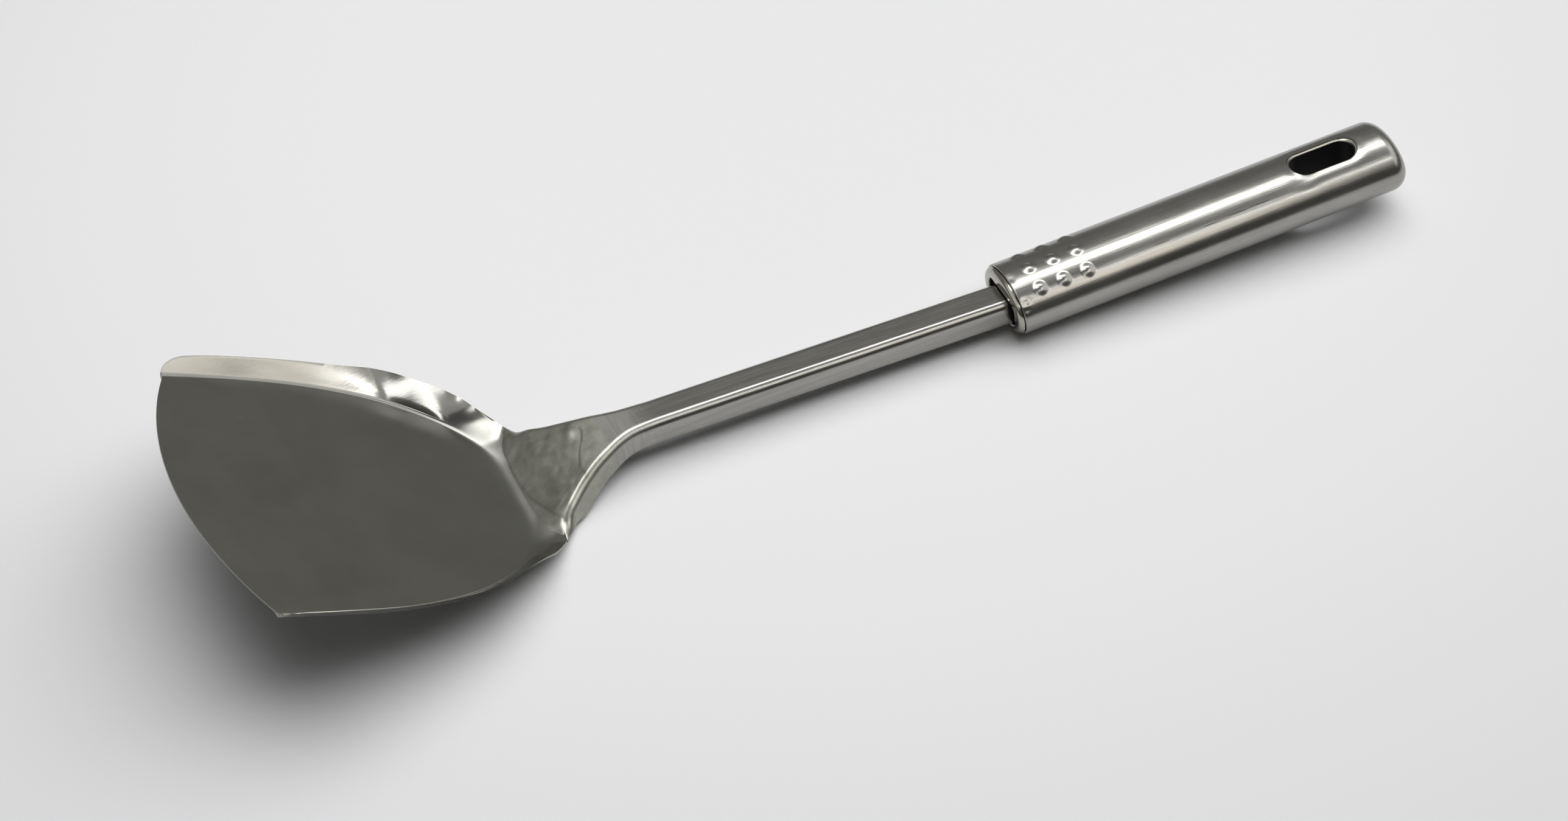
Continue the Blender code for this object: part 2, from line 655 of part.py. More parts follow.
def rest_tilt():
    """Nose-down tilt that brings the heel and the tube's front rim to one level, and the lift to it."""
    normals = Vector((-sin(BLADE_TILT), cos(BLADE_TILT))) + Vector((sin(NECK_SLOPE), cos(NECK_SLOPE)))
    heel = Vector((HEEL_REACH, -HEEL_DROP))
    heel += normals.normalized() * BLADE_BEND_RADIUS / cos(REAR_WALL_ANGLE / 2)
    rim = Vector((-TUBE_RIM_RADIUS, TUBE_RIM_RADIUS - TUBE_HALF_HEIGHT))
    apart = heel - rim
    radius_change = BLADE_BEND_RADIUS + BLADE_SHEET - TUBE_RIM_RADIUS
    tilt = atan2(apart.y, apart.x) - asin(radius_change / apart.length)
    lift = TUBE_RIM_RADIUS - (rim.y * cos(tilt) - rim.x * sin(tilt))
    return tilt, lift


def build():
    remove_everything()
    pieces = make_collection("serving_spatula")
    cutters = make_collection("cutters")
    brushed = make_material("brushed_steel", (0.53, 0.52, 0.49), 1.0, 0.32)
    sheet = make_material("blade_steel", (0.50, 0.49, 0.46), 1.0, 0.24)
    bright = make_material("bright_steel", (0.62, 0.60, 0.56), 1.0, 0.12)
    weld = make_material("ground_weld", (0.45, 0.44, 0.40), 1.0, 0.40)
    black = make_material("black_plastic", (0.012, 0.012, 0.013), 0.0, 0.45)

    tilt, lift = rest_tilt()
    tool = bpy.data.objects.new("tool_frame", None)
    bpy.context.scene.collection.objects.link(tool)
    tool.rotation_euler.y = tilt
    nose = Vector((HEEL_REACH, -HEEL_DROP))
    nose += (BLADE_LENGTH + BLADE_FRONT_BOW) * Vector((cos(BLADE_TILT), sin(BLADE_TILT)))
    nose += BLADE_SHEET * Vector((sin(BLADE_TILT), -cos(BLADE_TILT)))
    front = nose.x * cos(tilt) + nose.y * sin(tilt)
    rear = -HANDLE_LENGTH * cos(tilt)
    tool.location = (-(front + rear) / 2, 0, lift)

    make_blade(pieces, tool, sheet)
    make_shank(pieces, tool, brushed)
    make_seam_weld(pieces, tool, weld)
    make_handle_tube(pieces, cutters, tool, brushed)
    make_front_collar(pieces, cutters, tool, bright)
    make_end_cap(pieces, tool, brushed)
    make_slot_liner(pieces, cutters, tool, black)
    make_tang_plug(pieces, cutters, tool, black)


build()
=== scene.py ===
"""Looks of the serving spatula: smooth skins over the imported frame, finishes, studio, camera.

The skins are made in the tool's own frame, in metres: X runs forward along the handle's axis
from the seam between collar and tube, Y is across, Z is up. TOOL puts that frame in its rest
pose on the table, and each skin's mesh is turned by it, so its object stays at the origin.
"""
from math import asin, atan2, cos, exp, pi, radians, sin, sqrt, tan

import bmesh
import bpy
import numpy as np
from mathutils import Matrix, Vector
from mathutils.bvhtree import BVHTree


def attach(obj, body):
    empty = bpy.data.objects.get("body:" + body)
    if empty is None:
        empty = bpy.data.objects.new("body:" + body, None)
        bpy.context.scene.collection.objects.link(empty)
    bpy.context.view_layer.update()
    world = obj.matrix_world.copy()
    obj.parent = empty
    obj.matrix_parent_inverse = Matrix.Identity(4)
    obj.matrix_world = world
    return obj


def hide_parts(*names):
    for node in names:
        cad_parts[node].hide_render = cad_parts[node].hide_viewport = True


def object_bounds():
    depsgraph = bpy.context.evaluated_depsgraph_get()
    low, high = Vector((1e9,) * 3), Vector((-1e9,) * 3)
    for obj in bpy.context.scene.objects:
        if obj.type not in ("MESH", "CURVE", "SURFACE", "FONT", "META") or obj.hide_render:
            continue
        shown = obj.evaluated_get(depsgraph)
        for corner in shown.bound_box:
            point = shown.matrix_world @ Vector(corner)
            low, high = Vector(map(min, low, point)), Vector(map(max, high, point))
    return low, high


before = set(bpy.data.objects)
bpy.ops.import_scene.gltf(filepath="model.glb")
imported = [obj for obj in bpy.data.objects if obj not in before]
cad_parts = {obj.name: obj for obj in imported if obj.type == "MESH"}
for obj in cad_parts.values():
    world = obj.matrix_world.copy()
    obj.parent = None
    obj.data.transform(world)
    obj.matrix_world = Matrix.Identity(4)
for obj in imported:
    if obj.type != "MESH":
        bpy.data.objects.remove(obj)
cad_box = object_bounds()

# Rest pose of the tool's frame
REST_TILT = 0.0417342
REST_SHIFT = -0.0579408
REST_LIFT = 0.0087760
TOOL = Matrix.Translation((REST_SHIFT, 0, REST_LIFT)) @ Matrix.Rotation(REST_TILT, 4, "Y")

# Handle, in metres
HALF_WIDTH = 0.0125
HALF_HEIGHT = 0.0088
HANDLE_LENGTH = 0.123
TUBE_WALL = 0.0006
INNER_END = -0.1165
RIM_RADIUS = 0.0004
CAP_EDGE_RADIUS = 0.0047
CAP_EDGE_TURN = radians(78)
CAP_RISE = 0.00073
BUMP_ANGLE = radians(37)
BUMP_PITCH = 0.00735
BUMP_START = 0.0073
BUMP_RADIUS = 0.00255
BUMP_HEIGHT = 0.00054
BUMPS_END = 0.0262
# Dents of the crimping: place, angle, length, width and depth
CRIMPS = [
    (-0.0009, radians(8), 0.0011, radians(7), 0.00016),
    (-0.0016, radians(50), 0.0013, radians(6), 0.00022),
    (-0.0012, radians(62), 0.0012, radians(5), 0.00020),
]
SLOT_LENGTH = 0.0216
SLOT_WIDTH = 0.010
SLOT_CENTRE = -0.1004
SLOT_ZONE = (-0.1176, -0.082)
SLOT_ROLL = 0.0007
SLOT_DIP = 0.00022
SLOT_DIP_REACH = 0.0017
DIMPLE_PLACE = (-0.0912, 0.0062)
LINER_HIGH = 0.0073
GAP = 0.0003

# Nicks on the near side of the handle, whose mirrored shade is painted as dark lines: middle, place
# across, half length, slant
NICK_SHADE_LINES = [
    (-0.0450, 0.00795, 0.0032, -0.008),
    (-0.0602, 0.00800, 0.0034, -0.010),
    (-0.0692, 0.00770, 0.0044, -0.012),
    (-0.0765, 0.00760, 0.0040, -0.012),
]

# Collar
COLLAR_STEP = 0.0004
COLLAR_REACH = 0.0017
COLLAR_EDGE = 0.002
COLLAR_BACK = -0.004
OPENING_HALF_WIDTH = 0.008
OPENING_HALF_HEIGHT = 0.00415
OPENING_CORNER = 0.003
OPENING_DROP = 0.0002
OPENING_ROLL = 0.0005
OPENING_END = -0.0002

# Shank and neck
SHANK_HALF = 0.00545
SHANK_HEIGHT = 0.0071
SHANK_CORNER = 0.00255
SHANK_SHEET = 0.0012
SHANK_CLIMB = radians(3.41)
TOP_AT_SEAM = 0.00314
TANG_END = -0.025
NECK_BEND = 0.050
NECK_LENGTH = 0.0398
NECK_HALF = 0.0189
TONGUE_SETBACK = 0.0018

# Blade
HEEL_REACH = 0.1486
HEEL_DROP = 0.00195
BLADE_TILT = radians(28)
BLADE_LENGTH = 0.0879
HALF_BLADE = 0.04965
FRONT_BOW = 0.0119
BLADE_SHEET = 0.0009
BEND_RADIUS_FRONT = 0.0019
BEND_RADIUS_REAR = 0.0042
OUTLINE_POWER = 2.49
REAR_CUT = 0.00091
RIM_HEIGHT = 0.0072
RIM_CORNER_SHARE = 0.062
RIM_CORNER_START = 0.14
REAR_WALL_ANGLE = radians(50.3)
TAB_LENGTH = 0.017
TAB_FOOT = 0.003
NECK_SLOPE = REAR_WALL_ANGLE - BLADE_TILT
NECK_END = HEEL_REACH - TONGUE_SETBACK
NECK_START = NECK_END - NECK_LENGTH

RIM_ROWS = [
    (0.000, 1.000, 1.079, 0.490),
    (0.128, 0.832, 1.079, 0.600),
    (0.246, 0.676, 1.064, 0.635),
    (0.335, 0.557, 1.042, 0.670),
    (0.431, 0.430, 1.000, 0.735),
    (0.528, 0.301, 0.938, 0.900),
    (0.611, 0.200, 0.835, 1.000),
    (0.681, 0.115, 0.738, 0.990),
    (0.752, 0.024, 0.631, 0.790),
    (0.808, -0.044, 0.517, 0.647),
]
TAB_ROWS = [
    (0.835, 0.424, 0.358),
    (0.865, 0.582, 0.282),
    (0.895, 0.712, 0.256),
    (0.920, 0.840, 0.245),
    (0.955, 1.000, 0.205),
    (1.000, 1.000, 0.000),
]
NECK_ROWS = [
    (0.000, 0.288, 1.00, 1.00),
    (0.193, 0.317, 1.00, 1.00),
    (0.296, 0.370, 1.00, 1.00),
    (0.410, 0.466, 1.00, 1.00),
    (0.523, 0.569, 1.00, 1.00),
    (0.646, 0.709, 1.00, 1.00),
    (0.714, 0.804, 0.98, 1.00),
    (0.749, 0.862, 0.93, 1.00),
    (0.789, 0.926, 0.80, 1.00),
    (0.815, 0.960, 0.62, 1.00),
    (0.834, 0.974, 0.42, 1.00),
    (0.849, 0.972, 0.20, 0.50),
    (0.864, 0.958, 0.12, 0.03),
    (0.879, 0.931, 0.12, 0.03),
    (0.917, 0.820, 0.12, 0.03),
    (0.940, 0.698, 0.12, 0.03),
    (0.970, 0.487, 0.12, 0.03),
    (0.990, 0.317, 0.12, 0.03),
    (1.000, 0.265, 0.12, 0.03),
]

# Marks of the ground weld on the neck, in millimetres of the tool's frame: line, width and height,
# then pillows by place, lengths and height
WELD_LINES = [
    ([(126.7, -5.4), (127.0, -3.3), (128.3, -0.3), (129.9, 2.1), (131.1, 5.0), (132.0, 7.2),
      (131.5, 10.1), (131.1, 11.5)], 0.42, -0.035),
    ([(125.7, -5.9), (126.0, -3.6), (127.3, -0.9), (128.9, 1.5), (130.2, 4.8), (130.9, 7.3)],
     0.5, 0.022),
    ([(135.0, -4.7), (134.9, -2.1), (135.3, 1.5), (135.5, 6.0), (135.3, 9.5), (136.4, 12.2),
      (137.8, 15.3)], 0.7, 0.022),
    ([(139.5, -7.5), (141.9, -2.1), (143.2, 1.2), (143.2, 5.2), (142.5, 9.1), (140.8, 11.7),
      (138.3, 12.6)], 0.8, 0.024),
    ([(143.0, -19.9), (144.7, -19.8), (146.2, -18.6), (146.6, -16.5), (146.8, -13.7),
      (147.1, -10.2), (147.0, -3.7), (146.6, 0.8), (146.3, 4.2), (145.4, 7.5), (144.2, 10.7),
      (143.0, 15.2), (141.4, 18.0)], 0.45, -0.045),
]
WELD_PILLOWS = [
    (129.6, -5.6, 1.5, 2.6, 0.30),
    (144.6, -15.5, 1.3, 3.0, 0.30),
]
MARKS_FROM = 122

# Ground weld: share of the neck where it starts, its rows, what of its end the section's top and
# corner take, and the probing that keeps its skin over the blade. Then half of the line where it
# ends on the blade, in millimetres of the tool's frame.
WELD_START = 0.79
WELD_STEPS = 34
WELD_TOP_SHARE = 0.70
WELD_CORNER_SHARE = 0.24
PROBE_HEIGHT = 0.01
PROBE_LEAST = 0.006
WELD_CLEAR = 0.00006
WELD_EDGE = [
    (148.4, 0), (148.4, 6), (148.2, 10), (147.7, 14), (147.0, 17.5), (146.1, 20.5), (145.0, 23.0),
    (143.9, 24.9), (143.15, 25.7),
]

# Marks that pressing left in the blade's far wall, in millimetres. Places along the wall are
# x + WALL_LEAN * (y + 45): a crease, waves, a bulge across the wall, and a roll towards the heel.
WALL_LEAN = 0.28
WALL_HEIGHT = 7.7
CREASE_PLACE = 171.2
CREASE_WIDTH = 0.6
CREASE_DEPTH = 0.045
WAVE_DEPTH = 0.02
BULGE_AT_HEEL = 0.20
BULGE_MORE_AHEAD = 0.16
ROLL_HEIGHT = 0.30
ROLL_REACH = 3.5

# Counts of steps: across half the shank's top, round the handle, along the rim, round the
# bend and up the wall of the blade, round the shank's corner and down its side
TOP_STEPS = 46
AROUND = 288
RIM_STATIONS = 150
BEND_STEPS = 10
WALL_STEPS = 8
CORNER_STEPS = 12
SIDE_STEPS = 5

# Camera solved on the photograph, the first two in its pixels
FOCAL_LENGTH = 6500
PHOTO_WIDTH = 2576
CAMERA_PLACE = (0.2855756, 0.7487100, 0.7522491)
CAMERA_RIGHT = (-0.9127831, 0.4027800, -0.0677898)
CAMERA_BACK = (0.2496825, 0.6815930, 0.6878147)

# Cards: name, two corners, height, radiance and colour
PANELS = [
    ("warm_panel", (-0.32, 0.24), (-0.14, 0.40), 0.4, 1.9, (1, 0.93, 0.83)),
    ("near_strip", (-0.14, 0.291), (0.03, 0.320), 0.4, 6.0, (1, 0.98, 0.94)),
    ("side_panel", (0.128, 0.262), (0.235, 0.342), 0.4, 3.4, (1, 1, 1)),
    ("dim_panel", (-0.14, 0.20), (0.14, 0.36), 0.402, 0.45, (1, 1, 1)),
    ("top_panel", (-0.05, -0.10), (0.07, 0.03), 0.4, 3.2, (1, 1, 1)),
]


# ---- shared helpers

def smooth_curve(rows, places):
    """Catmull-Rom curve through rows of (place, values...), read at each of the places."""
    found = []
    for place in places:
        index = max(i for i in range(len(rows) - 1) if rows[i][0] <= place or i == 0)
        before, after = rows[max(index - 1, 0)], rows[min(index + 2, len(rows) - 1)]
        start, end = rows[index:index + 2]
        span = end[0] - start[0]
        t = (place - start[0]) / span
        values = []
        for k in range(1, len(start)):
            slope_in = (end[k] - before[k]) / (end[0] - before[0]) * span
            slope_out = (after[k] - start[k]) / (after[0] - start[0]) * span
            values.append(
                (2 * t**3 - 3 * t**2 + 1) * start[k] + (t**3 - 2 * t**2 + t) * slope_in
                + (3 * t**2 - 2 * t**3) * end[k] + (t**3 - t**2) * slope_out
            )
        found.append(values)
    return found


def ease(low, high, value):
    """Smooth step from 0 at low to 1 at high."""
    t = min(max((value - low) / (high - low), 0), 1)
    return t * t * (3 - 2 * t)


def add_object(name, data):
    """New object, linked into the scene."""
    item = bpy.data.objects.new(name, data)
    bpy.context.scene.collection.objects.link(item)
    return item


def add_piece(name, shape, material, nodes=(), place=TOOL, upper=None):
    """A skin that rides on the tool and stands for the CAD nodes named."""
    mesh = to_mesh(shape, name, upper)
    mesh.transform(place)
    item = add_object(name, mesh)
    mesh.materials.append(material)
    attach(item, "root")
    if nodes:
        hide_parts(*nodes)
    return item


def add_quads(shape, grid, wrap):
    """Quads between rows of vertices; wrap joins each row's end to its start."""
    for row, following in zip(grid, grid[1:]):
        for k in range(len(row) if wrap else len(row) - 1):
            after = (k + 1) % len(row)
            shape.faces.new((row[k], row[after], following[after], following[k]))


def grid_mesh(rows, wrap):
    """Shape of quads between rows of points, and its rows of vertices."""
    shape = bmesh.new()
    grid = [[shape.verts.new(point) for point in row] for row in rows]
    add_quads(shape, grid, wrap)
    return shape, grid


def to_mesh(shape, name, upper=None):
    """Mesh of a shape, its faces turned alike, with the face numbered upper looking up."""
    bmesh.ops.recalc_face_normals(shape, faces=list(shape.faces))
    mesh = bpy.data.meshes.new(name)
    shape.to_mesh(mesh)
    shape.free()
    if upper is not None and mesh.polygons[upper].normal.z < 0:
        mesh.flip_normals()
    return mesh


def modify(item, name, kind, **settings):
    """Give a piece a modifier."""
    modifier = item.modifiers.new(name, kind)
    for key, value in settings.items():
        setattr(modifier, key, value)


def bake(item, angle=None):
    """Turn a piece's modifiers into its mesh and shade it smooth."""
    bpy.context.view_layer.update()
    depsgraph = bpy.context.evaluated_depsgraph_get()
    shaped = bpy.data.meshes.new_from_object(item.evaluated_get(depsgraph))
    item.modifiers.clear()
    item.data = shaped
    shaped.shade_smooth()
    if angle is not None:
        shaped.set_sharp_from_angle(angle=angle)


# ---- handle

def bump_centres():
    """Middles of the nine bumps, three rows of three."""
    backs = [-BUMP_START - column * BUMP_PITCH for column in range(3)]
    turns = (-BUMP_ANGLE, 0, BUMP_ANGLE)
    return [
        Vector((back, HALF_WIDTH * sin(turn), HALF_HEIGHT * cos(turn)))
        for turn in turns for back in backs
    ]


def bump_lift(point, centres):
    """Height of the pressed bumps at a point of the tube: a soft bell with a small crown."""
    lift = 0
    for centre in centres:
        away = (point - centre).length / BUMP_RADIUS
        if away < 1:
            lift = max(lift, BUMP_HEIGHT * (1 - away**2) ** 2)
    return lift


def crimp_dent(forward, turn):
    """Depth of the dents that the collar's crimping left in the tube's end, near side up."""
    return sum(
        deep * exp(-((forward - back) / long) ** 2 - ((turn - angle) / wide) ** 2)
        for back, angle, long, wide, deep in CRIMPS
    )


def oval_points(forward, half_width, half_height):
    """One ring of the handle's oval."""
    turns = [2 * pi * k / AROUND for k in range(AROUND)]
    return [Vector((forward, half_width * sin(turn), half_height * cos(turn))) for turn in turns]


def make_handle(material):
    """Tube and end cap as one polished skin, with its bumps and the cut of the slot."""
    centres = bump_centres()
    rings = []
    for step in range(7):
        angle = pi / 2 * (1 - step / 6)
        inset = RIM_RADIUS * (1 - cos(angle))
        rings.append((RIM_RADIUS * (sin(angle) - 1), HALF_WIDTH - inset, HALF_HEIGHT - inset))
    bumped = np.arange(0.0008, BUMPS_END, 0.00022)
    plain = np.linspace(0.0275, 0.0835, 29)
    slotted = np.linspace(0.0843, HANDLE_LENGTH - 0.0055, 66)
    rings += [(-float(back), HALF_WIDTH, HALF_HEIGHT) for back in (*bumped, *plain, *slotted)]
    edge = CAP_EDGE_RADIUS * sin(CAP_EDGE_TURN) + CAP_RISE - HANDLE_LENGTH
    for step in range(1, 19):
        angle = CAP_EDGE_TURN * step / 18
        inset = CAP_EDGE_RADIUS * (1 - cos(angle))
        rings.append((edge - CAP_EDGE_RADIUS * sin(angle), HALF_WIDTH - inset, HALF_HEIGHT - inset))
    last, wide, tall = rings[-1]
    for step in range(1, 12):
        share = 1 - step / 12
        forward = -HANDLE_LENGTH + (last + HANDLE_LENGTH) * share**2
        rings.append((forward, wide * share, tall * share))
    rows = []
    for forward, wide, tall in rings:
        row = oval_points(forward, wide, tall)
        for k, point in enumerate(row):
            lift = 0
            if -BUMPS_END < forward < 0:
                lift = bump_lift(point, centres) - crimp_dent(forward, 2 * pi * k / AROUND)
            elif SLOT_ZONE[0] < forward < SLOT_ZONE[1]:
                lift = -slot_dip(forward, point.y)
            if lift and point.z > 0:
                point += Vector((0, point.y / wide**2, point.z / tall**2)).normalized() * lift
        rows.append(row)
    inner = HALF_WIDTH - TUBE_WALL, HALF_HEIGHT - TUBE_WALL
    back = [oval_points(forward, *inner) for forward in (INNER_END, -0.08, -0.04, 0.0)]
    rows = [back[3]] + rows
    shape, grid = grid_mesh(rows, True)

    def close(ring, forward):
        tip = shape.verts.new((forward, 0, 0))
        for k in range(AROUND):
            shape.faces.new((ring[k], ring[(k + 1) % AROUND], tip))

    close(grid[-1], -HANDLE_LENGTH)
    inside = [[shape.verts.new(point) for point in row] for row in back[:3]] + [grid[0]]
    add_quads(shape, inside, True)
    close(inside[0], INNER_END)
    handle = add_piece("handle_skin", shape, material, ("handle_tube", "end_cap"))
    prism = slot_prism(0.013)
    prism.transform(TOOL)
    cutter = add_object("slot_cutter", prism)
    modify(handle, "slot", "BOOLEAN", operation="DIFFERENCE", object=cutter, solver="EXACT")
    bake(handle, radians(40))
    bpy.data.objects.remove(cutter, do_unlink=True)


def slot_outline(inset):
    """Stadium outline of the hanging slot, set in from its edge."""
    radius = SLOT_WIDTH / 2 - inset
    reach = SLOT_LENGTH / 2 - SLOT_WIDTH / 2
    points = []
    for end in (1, -1):
        for step in range(25):
            angle = -pi / 2 + pi * step / 24
            forward = SLOT_CENTRE + end * (reach + radius * cos(angle))
            points.append((forward, end * radius * sin(angle)))
    return points


def slot_dip(forward, across):
    """Depth by which the tube is drawn in round the slot, more so at its near front end."""
    reach = SLOT_LENGTH / 2 - SLOT_WIDTH / 2
    beyond = max(abs(forward - SLOT_CENTRE) - reach, 0)
    away = max(sqrt(beyond**2 + across**2) - SLOT_WIDTH / 2, 0)
    ahead, beside = forward - DIMPLE_PLACE[0], across - DIMPLE_PLACE[1]
    dimple = exp(-((ahead / 0.0035) ** 2) - (beside / 0.0022) ** 2)
    return SLOT_DIP * (exp(-((away / SLOT_DIP_REACH) ** 2)) + dimple)


def slot_prism(reach):
    """Upright prism of the slot's outline, to cut it out of the tube."""
    rows = [[(x, y, height) for x, y in slot_outline(0)] for height in (-reach, reach)]
    shape, grid = grid_mesh(rows, True)
    shape.faces.new(grid[0])
    shape.faces.new(grid[1])
    return to_mesh(shape, "slot_prism")


def skin_height(y):
    """Height of the tube's skin at a place across it."""
    return HALF_HEIGHT * sqrt(max(1 - (y / HALF_WIDTH) ** 2, 0))


def make_slot_trim(steel, black):
    """Turned-in bright edge of the slot, above and below, and the black lining inside it."""
    for name, side in (("slot_edge_top", 1), ("slot_edge_bottom", -1)):
        rows = []
        for step in range(9):
            angle = pi / 2 * step / 8
            inset = -0.0001 + SLOT_ROLL * (1 - cos(angle))
            sink = SLOT_ROLL * sin(angle)
            row = []
            for x, y in slot_outline(inset):
                dip = slot_dip(x, y) / skin_height(y) * HALF_HEIGHT if side > 0 else 0
                row.append((x, y, side * (skin_height(y) - dip - sink + 0.00005)))
            rows.append(row)
        outline = slot_outline(SLOT_ROLL - 0.0001)
        rows.append([(x, y, side * (skin_height(y) - 0.0018)) for x, y in outline])
        shape, _ = grid_mesh(rows, True)
        bake(add_piece(name, shape, steel))
    outline = slot_outline(0.00075)
    heights = (LINER_HIGH, 0.004, 0, -0.004, -LINER_HIGH)
    rows = [[(x, y, height) for x, y in outline] for height in heights]
    shape, _ = grid_mesh(rows, True)
    liner = add_piece("liner_skin", shape, black, ("slot_liner",))
    modify(liner, "wall", "SOLIDIFY", thickness=0.0007, offset=1)
    bake(liner, radians(40))


# ---- collar

def opening_point(direction, grow):
    """Point of the rounded opening, grown by a distance, in a direction from its middle."""
    low, high = 0.0, 0.02
    for _ in range(40):
        middle = (low + high) / 2
        across = abs(direction[0] * middle) - (OPENING_HALF_WIDTH + grow - OPENING_CORNER)
        upward = abs(direction[1] * middle) - (OPENING_HALF_HEIGHT + grow - OPENING_CORNER)
        out = sqrt(max(across, 0) ** 2 + max(upward, 0) ** 2) + min(max(across, upward), 0)
        if out < OPENING_CORNER:
            low = middle
        else:
            high = middle
    return direction[0] * low, direction[1] * low


def make_collar(material):
    """Polished collar: a rolled nose round a flat face with a rounded opening for the shank."""
    shoulder = COLLAR_REACH - COLLAR_EDGE
    start = asin((GAP - shoulder) / COLLAR_EDGE)
    sleeve = HALF_WIDTH - TUBE_WALL - GAP, HALF_HEIGHT - TUBE_WALL - GAP
    rows = [oval_points(forward, *sleeve) for forward in (COLLAR_BACK, GAP * 0.6)]
    for step in range(19):
        angle = start + (pi / 2 - start) * step / 18
        inset = COLLAR_STEP + COLLAR_EDGE * (1 - cos(angle))
        forward = shoulder + COLLAR_EDGE * sin(angle)
        rows.append(oval_points(forward, HALF_WIDTH - inset, HALF_HEIGHT - inset))
    nose = rows[-1]
    face = len(rows)
    ways = [(point.y / point.yz.length, point.z / point.yz.length) for point in nose]
    outer = [opening_point(way, OPENING_ROLL) for way in ways]
    for step in (1, 2, 3):
        share = step / 3
        left = 1 - share
        rows.append([
            Vector((COLLAR_REACH, point.y * left + y * share, point.z * left + z * share))
            for point, (y, z) in zip(nose, outer)
        ])
    for step in range(1, 11):
        angle = pi / 2 * step / 10
        grow = OPENING_ROLL * (1 - sin(angle))
        forward = COLLAR_REACH - OPENING_ROLL * (1 - cos(angle))
        rows.append([Vector((forward, *opening_point(way, grow))) for way in ways])
    rows.append([Vector((OPENING_END, *opening_point(way, 0))) for way in ways])
    for row in rows[face:]:
        for point in row:
            point.z -= OPENING_DROP
    shape, _ = grid_mesh(rows, True)
    collar = add_piece("collar_skin", shape, material, ("front_collar",))
    bake(collar, radians(60))


# ---- shank and neck

def neck_line():
    """Start, centre and end of the bend between shank and neck, seen from the side."""
    heel_top = (GAP + SHANK_SHEET) / cos(NECK_SLOPE) - HEEL_DROP
    fall = heel_top + HEEL_REACH * tan(NECK_SLOPE) - TOP_AT_SEAM
    ahead = fall / (tan(SHANK_CLIMB) + tan(NECK_SLOPE))
    corner = Vector((ahead, TOP_AT_SEAM + ahead * tan(SHANK_CLIMB)))
    tangent = NECK_BEND * tan((SHANK_CLIMB + NECK_SLOPE) / 2)
    start = corner - tangent * Vector((cos(SHANK_CLIMB), sin(SHANK_CLIMB)))
    centre = start + NECK_BEND * Vector((sin(SHANK_CLIMB), -cos(SHANK_CLIMB)))
    end = corner + tangent * Vector((cos(NECK_SLOPE), -sin(NECK_SLOPE)))
    return start, centre, end


def top_line(forward):
    """Height and slope of the shank's and neck's top."""
    start, centre, end = neck_line()
    if forward <= start.x:
        return TOP_AT_SEAM + forward * tan(SHANK_CLIMB), -SHANK_CLIMB
    if forward >= end.x:
        return end.y - (forward - end.x) * tan(NECK_SLOPE), NECK_SLOPE
    slope = asin((forward - centre.x) / NECK_BEND)
    return centre.y + NECK_BEND * cos(slope), slope


def line_distance(x, y, line):
    """Distance from a point to a line of points, in the line's own unit."""
    best = 1e9
    for (ax, ay), (bx, by) in zip(line, line[1:]):
        dx, dy = bx - ax, by - ay
        t = min(max(((x - ax) * dx + (y - ay) * dy) / (dx * dx + dy * dy), 0), 1)
        best = min(best, (x - ax - t * dx) ** 2 + (y - ay - t * dy) ** 2)
    return sqrt(best)


def neck_relief(forward, across):
    """Height of the ground weld's marks on the neck: grooves, soft ridges, low pillows."""
    x, y = forward * 1000, across * 1000
    height = 0
    if x > MARKS_FROM:
        for line, wide, tall in WELD_LINES:
            height += tall * exp(-((line_distance(x, y, line) / wide) ** 2))
        for px, py, long, wide, tall in WELD_PILLOWS:
            height += tall * exp(-(((x - px) / long) ** 2) - ((y - py) / wide) ** 2)
        wave = sin(x * 0.9 + sin(y * 0.5) * 1.4) * sin(y * 0.62 + 0.8)
        wave += 0.5 * sin(x * 1.9 - y * 1.1)
        height += 0.012 * wave * ease(MARKS_FROM, MARKS_FROM + 6, x)
    return height / 1000


def shank_row(forward, half_width, depth, fold):
    """Section of the channel: flat top, rounded corners and sides folded down."""
    height, slope = top_line(forward)
    down = Vector((-sin(slope), 0, -cos(slope)))
    origin = Vector((forward, 0, height))
    corner = half_width - SHANK_CORNER * sin(fold) - depth * cos(fold)
    half = [origin + Vector((0, corner * step / TOP_STEPS, 0)) for step in range(TOP_STEPS)]
    for step in range(CORNER_STEPS + 1):
        angle = fold * step / CORNER_STEPS
        across = Vector((0, corner + SHANK_CORNER * sin(angle), 0))
        half.append(origin + across + down * SHANK_CORNER * (1 - cos(angle)))
    side = half[-1]
    fall = Vector((0, depth * cos(fold), 0)) + down * depth * sin(fold)
    half += [side + fall * step / SIDE_STEPS for step in range(1, SIDE_STEPS + 1)]
    points = [Vector((point.x, -point.y, point.z)) for point in reversed(half[1:])] + half
    shaped = []
    for point in points:
        flat = 1 - ease(corner - 0.0003, corner + 0.001, abs(point.y))
        shaped.append(point - down * neck_relief(forward, point.y) * flat)
    return shaped


def tone_weld_lines(mesh):
    """Keep how dark or light each point of the weld's marks is, for the material: darker along the
    grooves and lighter along the ridges.
    """
    back = TOOL.inverted()
    line_tone = mesh.attributes.new("line_tone", "FLOAT", "POINT")
    for vertex in mesh.vertices:
        place = back @ vertex.co * 1000
        tone = 0
        if place.x > MARKS_FROM and abs(place.y) < 21:
            for line, wide, tall in WELD_LINES:
                tone += tall * 10 * exp(-((line_distance(place.x, place.y, line) / wide) ** 2))
        line_tone.data[vertex.index].value = tone


